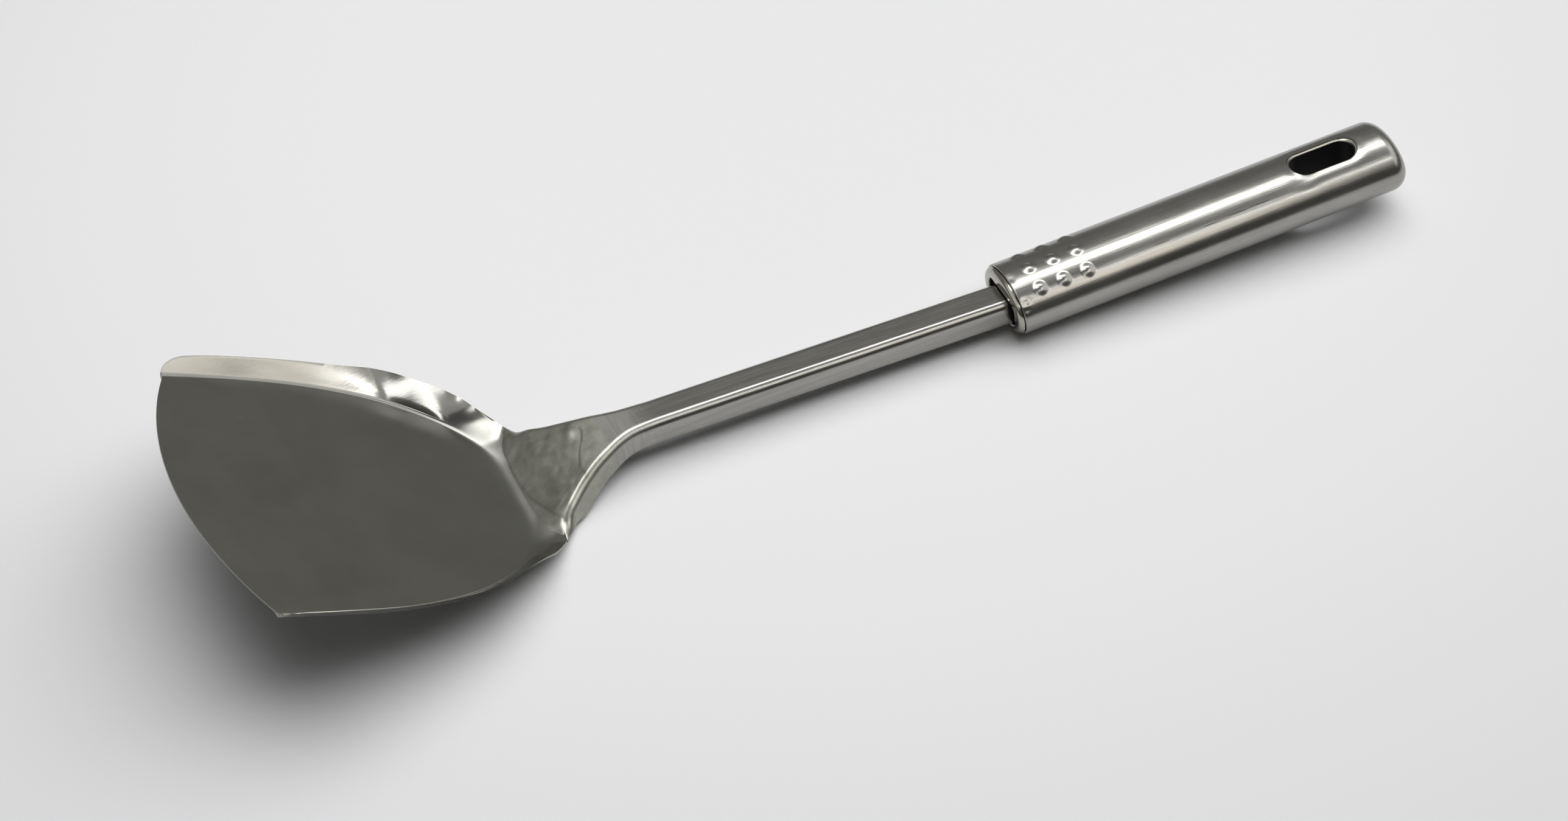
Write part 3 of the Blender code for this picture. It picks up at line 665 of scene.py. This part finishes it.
def weld_edge(share):
    """Point of the line, seen from above, where the ground weld ends on the blade's rear wall."""
    pairs = list(zip(WELD_EDGE, WELD_EDGE[1:]))
    spans = [sqrt((b[0] - a[0]) ** 2 + (b[1] - a[1]) ** 2) for a, b in pairs]
    left = share * sum(spans)
    for (a, b), span in zip(pairs, spans):
        if left <= span:
            break
        left -= span
    t = min(left / span, 1)
    return (a[0] + (b[0] - a[0]) * t) / 1000, (a[1] + (b[1] - a[1]) * t) / 1000


def weld_rows(before, row, blade):
    """Rows that carry the neck's last section over the ground weld and down on to the blade."""
    back = TOOL.inverted()
    points = [back @ vertex.co for vertex in blade.data.vertices]
    tree = BVHTree.FromPolygons(points, [tuple(face.vertices) for face in blade.data.polygons])
    normal = Vector((sin(NECK_SLOPE), 0, cos(NECK_SLOPE)))
    downhill = Vector((cos(NECK_SLOPE), 0, -sin(NECK_SLOPE)))
    middle = len(row) // 2
    ends = []
    for k, point in enumerate(row):
        side = 1 if k >= middle else -1
        i = abs(k - middle)
        rounded = min(max(i - TOP_STEPS, 0), CORNER_STEPS) / CORNER_STEPS
        under = max(i - TOP_STEPS - CORNER_STEPS, 0) / SIDE_STEPS
        share = WELD_TOP_SHARE * min(i / TOP_STEPS, 1) + WELD_CORNER_SHARE * rounded
        share += (1 - WELD_TOP_SHARE - WELD_CORNER_SHARE) * under
        x, y = weld_edge(share)
        start = Vector((x, side * y, 0)) + normal * 0.03
        place = tree.ray_cast(start, -normal)[0]
        if place is None:
            place = tree.find_nearest(Vector((x, side * y, 0.001)))[0]
        place = place - normal * (0.0001 + 0.0007 * under)
        turn = ease(0.55, 1.0, share)
        leave = (downhill * (1 - turn) + Vector((0.62, 0.68 * side, 0.38)) * turn).normalized()
        ends.append((place, (point - before[k]).normalized(), leave))
    times = [step / WELD_STEPS for step in range(1, WELD_STEPS + 1)]
    rows, lifts = [], []
    for t in times:
        rows.append([])
        lifts.append([])
        for point, (place, start, leave) in zip(row, ends):
            reach = (place - point).length
            spot = (
                (2 * t**3 - 3 * t**2 + 1) * point + (t**3 - 2 * t**2 + t) * reach * start
                + (3 * t**2 - 2 * t**3) * place + (t**3 - t**2) * reach * leave * 0.8
            )
            hit, _, _, gap = tree.ray_cast(spot + normal * PROBE_HEIGHT, -normal)
            low = hit is not None and gap > PROBE_LEAST
            lifts[-1].append(max(PROBE_HEIGHT + WELD_CLEAR - gap, 0) if low else 0)
            rows[-1].append(spot)
    # The skin stays over the blade's wall, also just outside the wall's edge.
    lifts = np.array(lifts)
    for pick in (np.max, np.max, np.max, np.mean, np.mean):
        wide = np.pad(lifts, 1, mode="edge")
        high, long = lifts.shape
        lifts = pick([wide[a:a + high, b:b + long] for a in range(3) for b in range(3)], axis=0)
    for t, made, lift in zip(times, rows, lifts):
        for k, spot in enumerate(made):
            mark = neck_relief(spot.x, spot.y) * (1 - ease(0.016, 0.019, abs(spot.y)) * 0.7)
            mark *= 1 - ease(0.85, 1, t)
            spot += normal * (mark + float(lift[k]) * (1 - ease(0.70, 1, t)))
    return rows


def make_shank(material, blade):
    """Channel shank and flared neck, carried on into the ground weld that joins it to the blade."""
    full_depth = SHANK_HEIGHT - SHANK_CORNER
    straight = [TANG_END] + [NECK_START * step / 31 for step in range(31)]
    stations = [(forward, SHANK_HALF, full_depth, pi / 2) for forward in straight]
    shares = [WELD_START * step / 150 for step in range(151)]
    for share, (width, depth, fold) in zip(shares, smooth_curve(NECK_ROWS, shares)):
        forward = NECK_START + share * NECK_LENGTH
        stations.append((forward, width * NECK_HALF, depth * full_depth, min(fold, 1) * pi / 2))
    rows = [shank_row(*station) for station in stations]
    welded = weld_rows(rows[-2], rows[-1], blade)
    shape, _ = grid_mesh(rows + welded, False)
    across = len(rows[0])
    middle = across // 2
    covered = ("shank", "seam_weld")
    shank = add_piece("shank_skin", shape, material, covered, upper=middle)
    sheet = shank.vertex_groups.new(name="sheet")
    corner = shank.vertex_groups.new(name="corner")
    total = len(rows) + len(welded)
    for index in range(total):
        points = range(index * across, (index + 1) * across)
        sheet.add(list(points), 1 - 0.75 * ease(len(rows), total, index), "REPLACE")
        if index < len(rows):
            continue
        t = (index + 1 - len(rows)) / len(welded)
        for point in points:
            share = ease(TOP_STEPS - 8, TOP_STEPS, abs(point - points[0] - middle))
            share *= ease(0.0, 0.25, t) * (1 - ease(0.90, 1, t))
            corner.add([point], share, "REPLACE")
    modify(shank, "soft corner", "SMOOTH", factor=0.5, iterations=24, vertex_group="corner")
    finish_sheet(shank, SHANK_SHEET, 0.00016, False)
    tone_weld_lines(shank.data)


def finish_sheet(item, thickness, rounding, halved=True):
    """Mirror a skin that is halved, give it its thickness below and round its cut edges."""
    if halved:
        axes = (False, True, False)
        modify(item, "other half", "MIRROR", use_axis=axes, merge_threshold=0.00001)
    modify(item, "sheet", "SOLIDIFY", thickness=thickness, offset=-1, use_even_offset=halved,
           vertex_group="sheet")
    modify(item, "edge", "BEVEL", width=rounding, segments=3, limit_method="ANGLE",
           angle_limit=radians(60))
    bake(item, radians(50))


# ---- blade

def bend_outline(turn):
    """Half of the blade's bend line, as a superellipse."""
    power = 2 / OUTLINE_POWER
    x = (BLADE_LENGTH + REAR_CUT) * (1 - sin(turn) ** power) - REAR_CUT
    return Vector((max(x, 0), HALF_BLADE * max(cos(turn), 0) ** power, 0))


def bend_points(shares):
    """Points of the bend line at shares of its length."""
    fine = [bend_outline(pi / 2 * i / 1200) for i in range(1201)]
    reach = np.cumsum([0] + [(end - start).length for start, end in zip(fine, fine[1:])])
    points = []
    for share in shares:
        index = int(np.searchsorted(reach, share * reach[-1], side="right"))
        index = min(max(index, 1), len(fine) - 1)
        ratio = (share * reach[-1] - reach[index - 1]) / (reach[index] - reach[index - 1])
        points.append(fine[index - 1].lerp(fine[index], ratio))
    return points


def blade_rows():
    """Rows from the bend up to the rim or the tab, and the share of the bend line of each."""
    notch = RIM_ROWS[-1][0]
    places = [notch * i / RIM_STATIONS for i in range(RIM_STATIONS)] + [notch]
    places += [RIM_CORNER_SHARE * (1 - cos(pi / 2 * i / 20)) for i in range(1, 20)]
    places.sort()
    rims = []
    for place, (x, y, z) in zip(places, smooth_curve(RIM_ROWS, places)):
        rims.append((place, Vector((x * BLADE_LENGTH, y * HALF_BLADE, z * RIM_HEIGHT))))
    uphill = Vector((-cos(REAR_WALL_ANGLE), 0, sin(REAR_WALL_ANGLE)))
    tab = [(notch, rims[-1][1])]
    for place, reach, side in TAB_ROWS:
        tab.append((place, uphill * reach * TAB_LENGTH + Vector((0, side * HALF_BLADE, 0))))
    for (place, rim), (following, after) in zip(tab, tab[1:]):
        for step in range(1, 5):
            rims.append((place + (following - place) * step / 4, rim.lerp(after, step / 4)))
    feet = bend_points([place for place, _ in rims])
    rows = []
    for (place, rim), foot in zip(rims, feet):
        start = 1 - min(place / RIM_CORNER_SHARE, 1)
        rim = foot.lerp(rim, RIM_CORNER_START + (1 - RIM_CORNER_START) * sqrt(1 - start**2))
        if place < notch:
            middle = foot.lerp(rim, 0.6)
        else:
            middle = uphill * TAB_FOOT
            middle.y = foot.lerp(rim, TAB_FOOT / rim.length).y
        wall = middle - foot
        flat = Vector((wall.x, wall.y, 0))
        lean = atan2(wall.z, flat.length)
        out = flat.normalized()
        radius = (BEND_RADIUS_REAR - BEND_RADIUS_FRONT) * ease(0.66, 0.86, place)
        radius += BEND_RADIUS_FRONT
        bend = radius * tan(lean / 2)
        row = []
        for step in range(BEND_STEPS + 1):
            angle = lean * step / BEND_STEPS
            along = radius * sin(angle) - bend
            row.append(foot + out * along + Vector((0, 0, radius * (1 - cos(angle)))))
        base = row[-1]
        if place < notch:
            row += [base.lerp(rim, step / WALL_STEPS) for step in range(1, WALL_STEPS + 1)]
        else:
            half = WALL_STEPS // 2
            row += [base.lerp(middle, step / half) for step in range(1, half + 1)]
            row += [middle.lerp(rim, step / half) for step in range(1, half + 1)]
        rows.append(row)
    return rows, [place for place, _ in rims]


def make_blade(material):
    """Pressed scoop, smooth over its bends, with its edges rounded."""
    rows, stations = blade_rows()
    corner = rows[0][0]
    bow_radius = (corner.y**2 + FRONT_BOW**2) / (2 * FRONT_BOW)

    def bow(across):
        forward = corner.x + FRONT_BOW - bow_radius + sqrt(bow_radius**2 - across**2)
        return Vector((forward, across, 0))

    shape, grid = grid_mesh(rows, False)
    front = [shape.verts.new(bow(corner.y * step / 60)) for step in range(60)]
    shape.faces.new(front + [row[0] for row in grid])
    place = Matrix.Translation((HEEL_REACH, 0, -HEEL_DROP)) @ Matrix.Rotation(-BLADE_TILT, 4, "Y")
    blade = add_piece("blade_skin", shape, material, ("blade",), TOOL @ place, -1)
    sheet = blade.vertex_groups.new(name="sheet")
    ridge = blade.vertex_groups.new(name="ridge")
    across = len(rows[0])
    for index in range(len(blade.data.vertices)):
        up = index % across / (across - 1) if index < across * len(rows) else 1
        sheet.add([index], 1 - 0.5 * ease(0.6, 1, up), "REPLACE")
    for station, place in enumerate(stations):
        for step in range(2, across):
            share = ease(0.72, 0.77, place) * (1 - ease(0.90, 0.96, place)) * ease(1, 6, step)
            ridge.add([station * across + step], share, "REPLACE")
    modify(blade, "soft ridge", "SMOOTH", factor=0.5, iterations=8, vertex_group="ridge")
    finish_sheet(blade, BLADE_SHEET, 0.0002)
    press_wall(blade.data)
    modify(blade, "level", "WEIGHTED_NORMAL", mode="FACE_AREA", weight=80, keep_sharp=True)
    return blade


def press_wall(mesh):
    """Crease, waves, bulge and roll that pressing left in the far wall of the blade."""
    back = TOOL.inverted()
    for vertex in mesh.vertices:
        place = back @ vertex.co * 1000
        if place.y > -20 or place.x < 148:
            continue
        rise = place.z - (place.x - HEEL_REACH * 1000) * tan(BLADE_TILT) + HEEL_DROP * 1000
        share = min(max((rise - 0.8) / WALL_HEIGHT, 0), 1)
        lean = place.x + (place.y + 45) * WALL_LEAN
        crease = CREASE_DEPTH * exp(-(((lean - CREASE_PLACE) / CREASE_WIDTH) ** 2))
        wave = sin(place.x * 0.42) * ease(174, 180, place.x) + 0.6 * sin(place.x * 0.23 + 1.0)
        bulge = (BULGE_AT_HEEL + BULGE_MORE_AHEAD * ease(170.5, 172, lean)) * share * (1 - share)
        bulge *= ease(157, 163, lean) * (1 - ease(186, 200, lean))
        roll = ROLL_HEIGHT * (1 - exp(-max(CREASE_PLACE - lean, 0) / ROLL_REACH))
        roll *= ease(157, 163, lean) * ease(0.0, 2.0, rise)
        dent = (crease + WAVE_DEPTH * wave) * ease(0.8, 3.8, rise) - bulge - roll
        vertex.co.y -= dent / 1000


# ---- materials

class Nodes:
    """Short calls to add and link shader nodes."""

    def __init__(self, tree):
        self.tree = tree

    def add(self, kind, settings=None, **inputs):
        node = self.tree.nodes.new(kind)
        for key, value in (settings or {}).items():
            setattr(node, key, value)
        for key, value in inputs.items():
            self.set(node, key, value)
        return node

    def set(self, node, key, value):
        """Link or set an input, given by its name, or by i and its number."""
        numbered = key[0] == "i" and key[1:].isdigit()
        socket = node.inputs[int(key[1:]) if numbered else key.replace("_", " ")]
        if isinstance(value, bpy.types.NodeSocket):
            self.tree.links.new(value, socket)
        else:
            socket.default_value = value

    def math(self, operation, *values):
        inputs = {f"i{index}": value for index, value in enumerate(values)}
        return self.add("ShaderNodeMath", {"operation": operation}, **inputs).outputs[0]

    def sum(self, *parts):
        """Sum of (value, weight) pairs."""
        total, *rest = [self.math("MULTIPLY", *part) for part in parts]
        for part in rest:
            total = self.math("ADD", total, part)
        return total

    def product(self, first, *others):
        for other in others:
            first = self.math("MULTIPLY", first, other)
        return first

    def ramp(self, value, low, high, to_low=0.0, to_high=1.0, smooth=True):
        """Value taken from the range low to high over to another range, and held there."""
        settings = {"interpolation_type": "SMOOTHSTEP" if smooth else "LINEAR"}
        node = self.add("ShaderNodeMapRange", settings, i0=value, i1=low, i2=high, i3=to_low,
                        i4=to_high)
        return node.outputs[0]

    def mix(self, factor, first, second):
        """Blend of two colours, each a socket or a tuple."""
        node = self.add("ShaderNodeMix", {"data_type": "RGBA"}, i0=factor)
        for key, colour in (("i6", first), ("i7", second)):
            self.set(node, key, (*colour, 1) if isinstance(colour, tuple) else colour)
        return node.outputs[2]

    def place(self):
        return self.add("ShaderNodeTexCoord").outputs["Object"]

    def split(self, vector):
        return self.add("ShaderNodeSeparateXYZ", None, i0=vector).outputs

    def noise(self, vector, scale, detail=4.0, rough=0.55, stretch=(1, 1, 1)):
        mapping = self.add("ShaderNodeMapping", None, Vector=vector, Scale=stretch)
        node = self.add("ShaderNodeTexNoise", None, Vector=mapping.outputs[0], Scale=scale,
                        Detail=detail, Roughness=rough)
        return node.outputs["Fac"]

    def paint(self, shader, colour, rough):
        self.set(shader, "Base_Color", colour)
        self.set(shader, "Roughness", rough)

    def bump(self, shader, strength, distance, height):
        node = self.add("ShaderNodeBump", None, Strength=strength, Distance=distance, Height=height)
        self.set(shader, "Normal", node.outputs[0])


def new_material(name, metallic=1.0):
    material = bpy.data.materials.new(name)
    material.use_nodes = True
    shader = material.node_tree.nodes["Principled BSDF"]
    shader.inputs["Metallic"].default_value = metallic
    return material, Nodes(material.node_tree), shader


def tool_place(nodes):
    """Position of the shaded point in the tool's frame: X along the handle, Y across, Z up."""
    back = TOOL.inverted()
    mapping = nodes.add("ShaderNodeMapping", None, Vector=nodes.place(),
                        Location=back.to_translation(), Rotation=back.to_euler())
    return mapping.outputs[0]


def nick_shade_mask(nodes, where):
    """Mask of the few long nicks on the near side of the handle, where their mirrored shade is
    painted as dark lines.
    """
    x, y, z = nodes.split(where)
    mask = 0.0
    for middle, across, half, slant in NICK_SHADE_LINES:
        ahead = nodes.math("SUBTRACT", x, middle)
        side = nodes.math("SUBTRACT", y, across)
        side = nodes.math("SUBTRACT", side, nodes.math("MULTIPLY", ahead, slant))
        length = nodes.ramp(nodes.math("ABSOLUTE", ahead), half * 0.3, half, 1.0, 0.0)
        width = nodes.ramp(nodes.math("ABSOLUTE", side), 0.00002, 0.00016, 1.0, 0.0)
        mask = nodes.math("MAXIMUM", mask, nodes.product(length, width))
    return nodes.product(mask, nodes.math("GREATER_THAN", z, 0.0))


def handle_material():
    """Steel with fine lengthwise brushing, faint clouds, and a few nicks drawn only as painted dark
    lines of mirrored shade.
    """
    material, nodes, shader = new_material("brushed_steel")
    where = tool_place(nodes)
    streaks = nodes.noise(where, 700.0, 6.0, 0.7, (0.02, 1, 1))
    fine = nodes.noise(where, 2310.0, 4.0, 0.65, (0.03, 1, 1))
    clouds = nodes.noise(where, 60.0, 4.0, 0.6)
    tone = nodes.ramp(nodes.sum((streaks, 0.6), (clouds, 0.4)), 0.32, 0.68)
    shade = nodes.mix(tone, (0.295, 0.29, 0.272), (0.375, 0.37, 0.352))
    # Painted shade: the nicks are dark lines in the colour, standing for the shade their small
    # dents mirror.
    nick_shade = nodes.product(nick_shade_mask(nodes, where), 0.75)
    shade = nodes.mix(nick_shade, shade, (0.06, 0.06, 0.055))
    rough = nodes.sum((fine, 0.12), (clouds, 0.06))
    nodes.paint(shader, shade, nodes.math("ADD", rough, 0.13))
    nodes.bump(shader, 0.30, 0.00006, nodes.sum((streaks, 1.0), (fine, 0.9)))
    return material


def weld_mottle(nodes, where):
    """Faint blotches of the ground weld, which the blade's heel shares."""
    return nodes.noise(where, 260.0, 6.0, 0.68)


def shank_material():
    """Lengthwise-brushed shank, cross-ground near the neck, dull mottled over the weld."""
    material, nodes, shader = new_material("shank_steel")
    where = tool_place(nodes)
    x = nodes.split(where)[0]
    weld = nodes.ramp(x, 0.1218, 0.1226)
    crossed = nodes.product(nodes.ramp(x, 0.104, 0.117), nodes.math("SUBTRACT", 1.0, weld))
    along = nodes.noise(where, 800.0, 5.0, 0.7, (0.03, 1, 1))
    across = nodes.noise(where, 2600.0, 3.0, 0.6, (1, 0.03, 0.03))
    mottle = weld_mottle(nodes, where)
    clouds = nodes.noise(where, 70.0, 4.0, 0.6)
    brushed = nodes.mix(nodes.ramp(along, 0.3, 0.7), (0.285, 0.28, 0.262), (0.355, 0.35, 0.33))
    ground = nodes.mix(nodes.ramp(across, 0.35, 0.65), (0.30, 0.295, 0.278), (0.37, 0.365, 0.347))
    dull = nodes.sum((mottle, 0.6), (clouds, 0.4))
    welded = nodes.mix(nodes.ramp(dull, 0.34, 0.66), (0.28, 0.282, 0.245), (0.375, 0.375, 0.335))
    line_tone = nodes.add("ShaderNodeAttribute", {"attribute_name": "line_tone"}).outputs["Fac"]
    # The weld's lines are darker along its grooves and lighter along its ridges.
    welded = nodes.mix(nodes.ramp(line_tone, 0.0, -1.0, smooth=False), welded, (0.13, 0.13, 0.10))
    welded = nodes.mix(nodes.ramp(line_tone, 0.0, 1.0, smooth=False), welded, (0.50, 0.50, 0.44))
    shade = nodes.mix(weld, nodes.mix(crossed, brushed, ground), welded)
    rough = nodes.sum((along, 0.10), (crossed, 0.10), (nodes.product(weld, dull), 0.22))
    nodes.paint(shader, shade, nodes.math("ADD", rough, 0.17))
    lines = nodes.product(across, crossed)
    pits = nodes.product(mottle, weld)
    nodes.bump(shader, 0.35, 0.00006, nodes.sum((along, 1.0), (lines, 0.55), (pits, 1.2)))
    return material


def blade_material():
    """Cold-rolled sheet: bright walls, a satin floor with faint smudges whose colour is painted
    darker than the walls' to darken what it mirrors, and a dull ground heel.
    """
    material, nodes, shader = new_material("rolled_sheet")
    where = tool_place(nodes)
    x, y, z = nodes.split(where)
    blotch = nodes.noise(where, 45.0, 5.0, 0.62)
    patch = nodes.ramp(blotch, 0.25, 0.75)
    grain = nodes.noise(where, 1400.0, 3.0, 0.6, (0.3, 1, 1))
    turned = nodes.add("ShaderNodeMapping", None, Vector=where, Rotation=(0, 0, 0.5))
    scratch = nodes.noise(turned.outputs[0], 700.0, 2.0, 0.5, (0.04, 1, 1))
    scratch = nodes.product(nodes.ramp(scratch, 0.735, 0.76), nodes.ramp(blotch, 0.45, 0.6))

    wall = nodes.mix(patch, (0.310, 0.306, 0.284), (0.342, 0.338, 0.316))
    wall = nodes.mix(nodes.product(scratch, 0.5), wall, (0.55, 0.54, 0.51))
    near = nodes.ramp(nodes.math("ABSOLUTE", y), 0.032, 0.020)
    heel = nodes.product(nodes.ramp(x, 0.1535, 0.1475), near)
    dull = nodes.ramp(weld_mottle(nodes, where), 0.34, 0.66)
    dull = nodes.mix(dull, (0.31, 0.313, 0.28), (0.40, 0.40, 0.365))
    wall = nodes.mix(heel, wall, dull)

    # The floor ends just above the sheet's plane, and further up at the heel.
    fall = nodes.product(nodes.math("SUBTRACT", x, HEEL_REACH), tan(BLADE_TILT))
    rise = nodes.math("SUBTRACT", nodes.math("ADD", z, HEEL_DROP), fall)
    reach = nodes.ramp(x, 0.160, 0.150, 0.0010, 0.0040)
    floor = nodes.ramp(nodes.math("DIVIDE", rise, reach), 0.3, 1.0, 1.0, 0.0)
    # Painted shade: the floor's colour is set darker than the walls', so that it mirrors the room
    # darker.
    base = nodes.mix(patch, (0.249, 0.247, 0.227), (0.274, 0.272, 0.251))
    smudge = nodes.ramp(nodes.noise(where, 30.0, 3.0, 0.5), 0.54, 0.70, 0.0, 0.45)
    base = nodes.mix(smudge, base, (0.205, 0.200, 0.180))
    base = nodes.mix(nodes.product(scratch, 0.4), base, (0.45, 0.44, 0.42))
    satin = nodes.product(floor, 0.14)
    worn = nodes.product(nodes.ramp(x, 0.172, 0.196), 0.13)
    rough = nodes.sum((blotch, 0.05), (grain, 0.04), (heel, 0.10))
    rough = nodes.math("ADD", rough, nodes.math("MAXIMUM", satin, worn))
    nodes.paint(shader, nodes.mix(floor, wall, base), nodes.math("ADD", rough, 0.065))
    nodes.bump(shader, 0.10, 0.00005, grain)
    return material


def polished_material():
    """Collar and slot edge: polished bright with faint hazy clouds."""
    material, nodes, shader = new_material("polished_steel")
    haze = nodes.noise(tool_place(nodes), 300.0, 4.0, 0.6)
    shade = nodes.mix(haze, (0.34, 0.325, 0.28), (0.43, 0.415, 0.375))
    nodes.paint(shader, shade, nodes.ramp(haze, 0.3, 0.7, 0.09, 0.18))
    return material


def plastic_material():
    """Moulded black plastic with a fine grain."""
    material, nodes, shader = new_material("black_plastic", 0.0)
    grain = nodes.noise(nodes.place(), 2500.0, 2.0, 0.5)
    shade = nodes.mix(grain, (0.006, 0.006, 0.007), (0.014, 0.014, 0.015))
    nodes.paint(shader, shade, nodes.ramp(grain, 0.3, 0.7, 0.42, 0.56))
    nodes.bump(shader, 0.2, 0.00005, grain)
    return material


# ---- studio

def make_world():
    """Soft room: what the steel mirrors, and apart from it one soft tent that lights the table.

    Places overhead are given by y / z (across) and x / z (along) of the direction.
    """
    world = bpy.data.worlds.new("studio")
    bpy.context.scene.world = world
    world.use_nodes = True
    nodes = Nodes(world.node_tree)
    nodes.tree.nodes.clear()
    x, y, z = nodes.split(nodes.add("ShaderNodeTexCoord").outputs["Generated"])
    above = nodes.math("MAXIMUM", z, 0.02)
    across = nodes.math("DIVIDE", y, above)
    along = nodes.math("DIVIDE", x, above)
    facing = nodes.ramp(z, 0.04, 0.08)

    def band(value, low, high, soft):
        rise = nodes.ramp(value, low - soft, low + soft)
        return nodes.product(rise, nodes.ramp(value, high - soft, high + soft, 1.0, 0.0))

    side = nodes.ramp(y, -0.5, 0.6)
    low_room = nodes.mix(side, (0.235, 0.232, 0.218), (0.085, 0.084, 0.078))
    high_room = nodes.mix(side, (0.38, 0.38, 0.37), (0.27, 0.27, 0.26))
    room = nodes.mix(nodes.ramp(z, 0.50, 0.84), low_room, high_room)
    far_end = nodes.product(nodes.ramp(x, -0.35, -0.6), band(z, 0.45, 0.86, 0.08))
    near_end = nodes.product(nodes.ramp(x, 0.35, 0.6), band(z, 0.35, 0.86, 0.08))
    patches = [
        # Overhead: glow far across, long strip, dim stretch and second strip
        ((band(across, -1.10, -0.70, 0.12), band(along, -0.22, 0.35, 0.15)), (0.62, 0.62, 0.61)),
        ((band(across, -0.47, -0.23, 0.05), band(along, -0.66, 0.9, 0.08), facing),
         (6.6, 6.57, 6.5)),
        ((band(across, 0.12, 0.75, 0.06), nodes.ramp(along, -0.24, -0.12), facing),
         (0.13, 0.13, 0.135)),
        ((band(across, 0.38, 0.52, 0.04), band(along, -1.6, -0.24, 0.06), facing),
         (4.2, 4.15, 4.05)),
        # Pale walls past the handle's end and past the blade
        ((far_end, band(y, -0.40, 0.62, 0.12)), (1.2, 1.2, 1.17)),
        ((near_end, band(y, -0.5, 0.5, 0.12)), (0.9, 0.9, 0.88)),
    ]
    for masks, colour in patches:
        room = nodes.mix(nodes.product(*masks), room, colour)
    soft = nodes.product(band(across, -1.0, 0.62, 0.25), band(along, -2.4, 0.20, 0.35), facing)
    tent = nodes.mix(soft, (0.06, 0.06, 0.06), (2.62, 2.62, 2.62))
    path = nodes.add("ShaderNodeLightPath").outputs
    seen = path["Is Camera Ray"]
    mirrored = nodes.math("MAXIMUM", path["Is Glossy Ray"], seen)
    room = nodes.mix(mirrored, tent, room)
    lit = nodes.add("ShaderNodeBackground", None, Color=room, Strength=1.0).outputs[0]
    pale = nodes.add("ShaderNodeBackground", None, Color=(0.80, 0.80, 0.80, 1), Strength=1.0)
    mixer = nodes.add("ShaderNodeMixShader", None, i0=seen, i1=lit, i2=pale.outputs[0])
    nodes.add("ShaderNodeOutputWorld", None, Surface=mixer.outputs[0])


def make_panel(name, low, high, height, radiance, colour):
    """Flat lamp given by two corners, facing down: a card for the steel to mirror."""
    data = bpy.data.lights.new(name, "AREA")
    data.shape = "RECTANGLE"
    data.size, data.size_y = high[0] - low[0], high[1] - low[1]
    data.energy = radiance * pi * data.size * data.size_y
    data.color = colour
    lamp = add_object(name, data)
    lamp.location = ((low[0] + high[0]) / 2, (low[1] + high[1]) / 2, height)
    lamp.visible_camera = False
    lamp.visible_diffuse = False


def make_floor():
    """Pale matt table, with a painted pool of light round the middle."""
    mesh = bpy.data.meshes.new("table")
    reach = 6.0
    signs = ((-1, -1), (1, -1), (1, 1), (-1, 1))
    mesh.from_pydata([(a * reach, b * reach, 0) for a, b in signs], [], [(0, 1, 2, 3)])
    floor = add_object("table", mesh)
    material, nodes, shader = new_material("pale_table", 0.0)
    where = nodes.place()
    settings = {"operation": "DISTANCE"}
    away = nodes.add("ShaderNodeVectorMath", settings, i0=where, i1=(-0.06, -0.13, 0))
    # Painted light: the table is paler round the middle and darker further off.
    light_pool_fade = nodes.ramp(away.outputs["Value"], 0.12, 0.52)
    grain = nodes.noise(where, 900.0, 3.0, 0.6)
    tone = nodes.mix(light_pool_fade, (0.83, 0.83, 0.835), (0.64, 0.64, 0.65))
    tone = nodes.mix(nodes.product(grain, 0.05), tone, (0.5, 0.5, 0.5))
    nodes.paint(shader, tone, 0.75)
    nodes.set(shader, "Specular IOR Level", 0.15)
    mesh.materials.append(material)
    floor.location.z = cad_box[0][2]


def make_camera():
    """The photograph's camera."""
    data = bpy.data.cameras.new("camera")
    data.sensor_width = 36.0
    data.sensor_fit = "HORIZONTAL"
    data.lens = data.sensor_width * FOCAL_LENGTH / PHOTO_WIDTH
    data.clip_start = 0.05
    camera = add_object("camera", data)
    right = Vector(CAMERA_RIGHT).normalized()
    back = Vector(CAMERA_BACK).normalized()
    up = back.cross(right).normalized()
    turn = Matrix((right, up, back)).transposed().to_4x4()
    camera.matrix_world = Matrix.Translation(CAMERA_PLACE) @ turn
    bpy.context.scene.camera = camera


make_camera()
polished = polished_material()
plastic = plastic_material()
make_shank(shank_material(), make_blade(blade_material()))
make_handle(handle_material())
make_slot_trim(polished, plastic)
make_collar(polished)
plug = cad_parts["tang_plug"]
plug.data.materials.clear()
plug.data.materials.append(plastic)
make_world()
for panel in PANELS:
    make_panel(*panel)
make_floor()
bpy.context.scene.view_settings.view_transform = "Standard"
